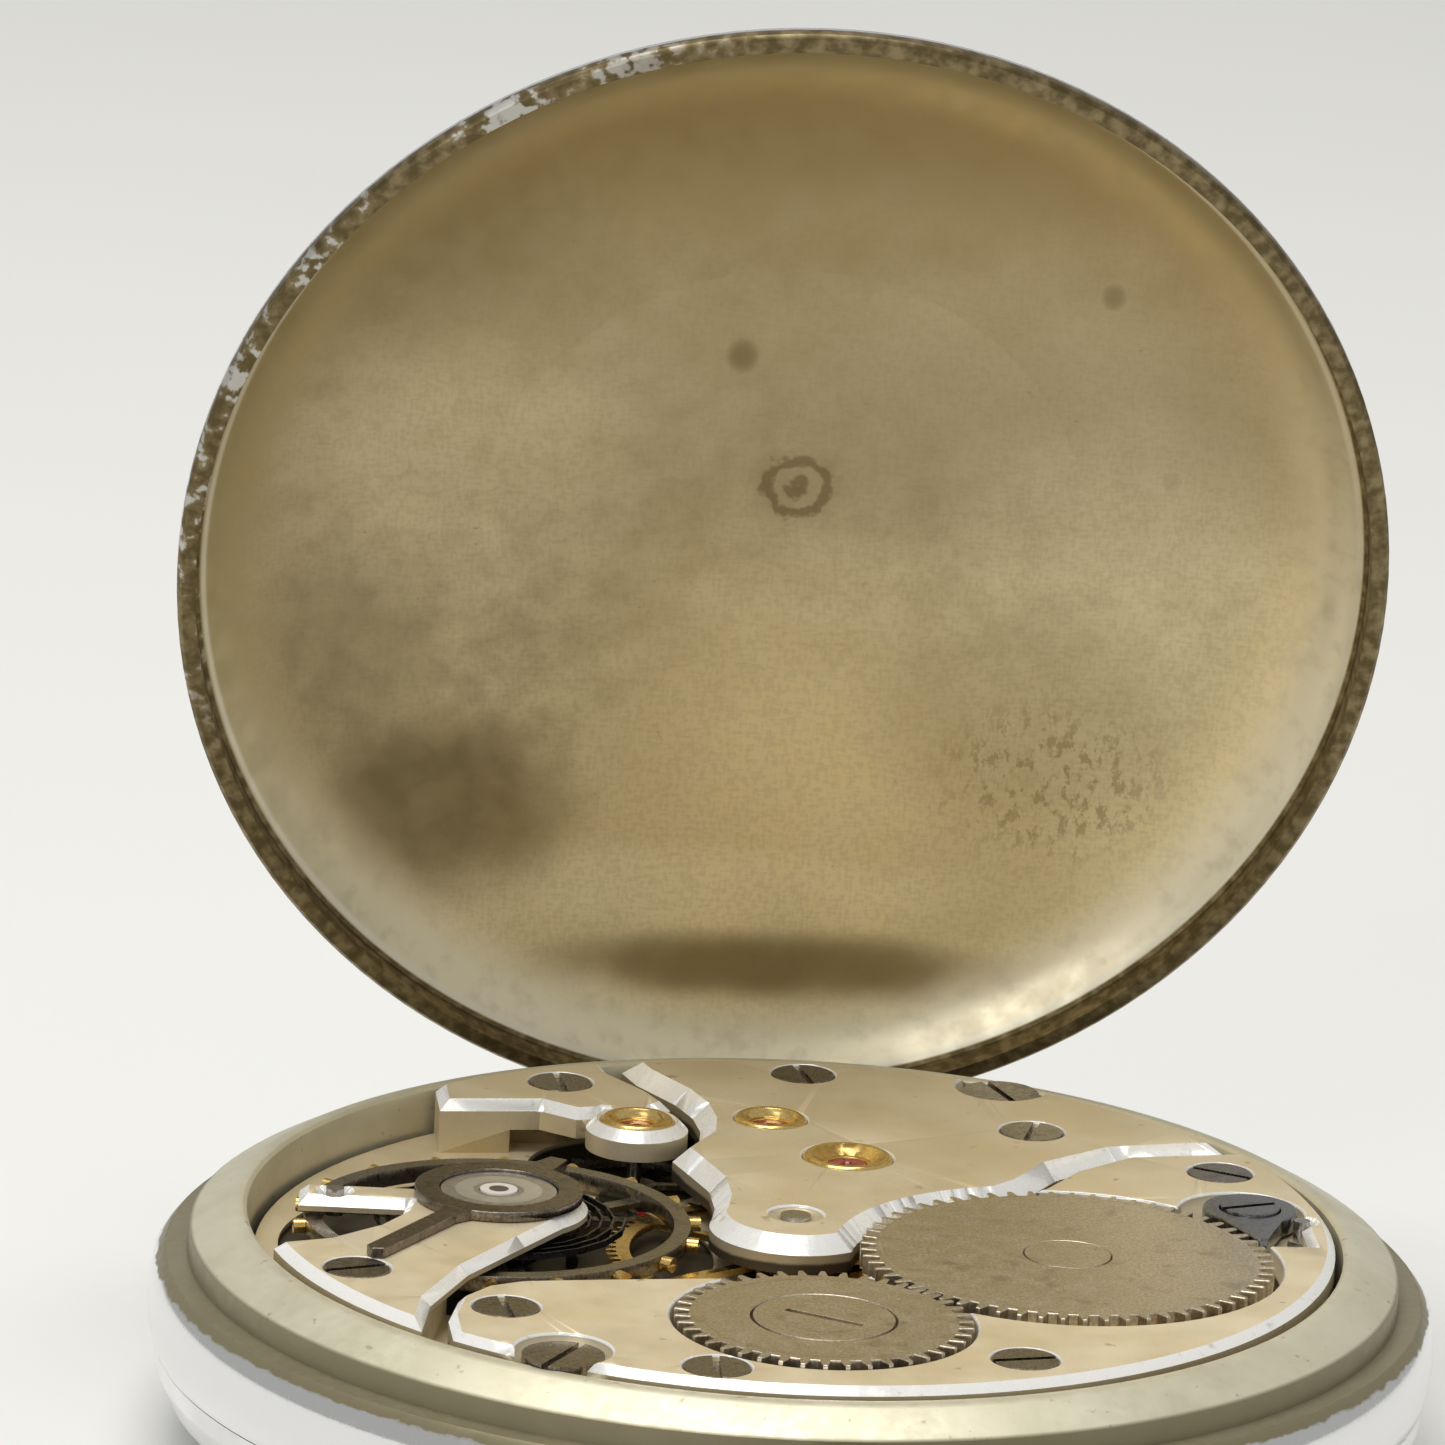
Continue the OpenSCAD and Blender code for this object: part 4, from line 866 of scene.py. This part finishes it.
def dial_numerals():
    """The hours. The seconds dial takes the place of VI."""
    bm = bmesh.new()
    for hour, numeral in enumerate(NUMERALS):
        if numeral == "VI":
            continue
        place = dial_place(CENTER, 30 * hour, NUMERAL_R, DIAL_Z - PRINT_T)
        x = -sum(GLYPH_W[letter] for letter in numeral) / 2
        for letter in numeral:
            for start, end in glyph_bars(letter, x):
                add_bar(bm, place, start, end, STEM_W)
            x += GLYPH_W[letter]
    return bm


def dial_track(centre, radius, depth, longest):
    """Sixty ticks round a centre, longer at each fifth."""
    bm = bmesh.new()
    for tick in range(60):
        length = longest if tick % 5 == 0 else 0.55 * longest
        width = 0.16 * longest if tick % 5 == 0 else 0.08 * longest
        place = dial_place(centre, 6 * tick, radius, depth - PRINT_T)
        add_bar(bm, place, (0, -length / 2), (0, length / 2), width)
    return bm


def printed(name, bm):
    bmesh.ops.recalc_face_normals(bm, faces=bm.faces)
    piece = new_object(name, bm, PRINT)
    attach(piece, "case")


printed("dial_numerals", dial_numerals())
printed("dial_minute_track", dial_track(CENTER, 18.1, DIAL_Z, 0.9))
printed("dial_seconds_track", dial_track(FOURTH, 4.1, DIAL_Z + SECONDS_SINK, 0.6))


# ------------------------------------------------------------------ light, floor and camera


# The floor's half width and its gap under the watch, and the view's place and directions, in metres
FLOOR_HALF = 1.5
FLOOR_GAP = 0.0001
LENS = 252.15
VIEW_FROM = (-0.03397, -0.34702, 0.11963)
VIEW_RIGHT = (0.99605, -0.07439, 0.04856)
VIEW_AHEAD = (0.08441, 0.96291, -0.25629)


def area_light(name, place, target, size, power, tint=(1, 1, 1)):
    lamp = bpy.data.lights.new(name, "AREA")
    lamp.shape = "RECTANGLE"
    lamp.size, lamp.size_y = size
    lamp.energy = power
    lamp.color = tint
    holder = bpy.data.objects.new(name, lamp)
    holder.location = place
    holder.rotation_euler = (Vector(target) - Vector(place)).to_track_quat("-Z", "Y").to_euler()
    bpy.context.scene.collection.objects.link(holder)


def floor():
    """A wide pale sheet that the watch lies on."""
    half = FLOOR_HALF
    mesh = bpy.data.meshes.new("table_top")
    corners = [(-half, -half, 0), (half, -half, 0), (half, half, 0), (-half, half, 0)]
    mesh.from_pydata(corners, [], [(0, 1, 2, 3)])
    sheet = bpy.data.objects.new("table_top", mesh)
    sheet.location.z = -FLOOR_GAP
    bpy.context.scene.collection.objects.link(sheet)
    paint = Paint("table_paper", metallic=0.0, roughness=0.65)
    paint.colour(paint.mix(paint.noise(0.02, 3), (0.84, 0.84, 0.82), (0.88, 0.88, 0.86)))
    paint.bump(paint.noise(1.2, 3), 0.05, 0.1)
    mesh.materials.append(paint.material)


def world():
    sky = bpy.data.worlds.new("studio")
    sky.use_nodes = True
    sky.node_tree.nodes["Background"].inputs["Color"].default_value = (0.97, 0.965, 0.94, 1)
    sky.node_tree.nodes["Background"].inputs["Strength"].default_value = 0.46
    bpy.context.scene.world = sky


def camera():
    lens = bpy.data.cameras.new("photo_view")
    lens.sensor_width = 36
    lens.lens = LENS
    lens.clip_start = 0.01
    lens.clip_end = 10
    holder = bpy.data.objects.new("photo_view", lens)
    right = Vector(VIEW_RIGHT).normalized()
    ahead = Vector(VIEW_AHEAD).normalized()
    up = right.cross(ahead)
    turn = Matrix((right, up, -ahead)).transposed()
    holder.matrix_world = Matrix.Translation(VIEW_FROM) @ turn.to_4x4()
    bpy.context.scene.collection.objects.link(holder)
    bpy.context.scene.camera = holder


floor()
world()
camera()
area_light("overhead", (-0.05, 0.02, 0.45), (0, 0, 0.01), (0.35, 0.30), 1.35, (1.0, 0.99, 0.97))
area_light("front_fill", (-0.30, -0.45, 0.30), (0, 0, 0.02), (0.30, 0.30), 0.5)
bpy.context.scene.view_settings.view_transform = "Standard"
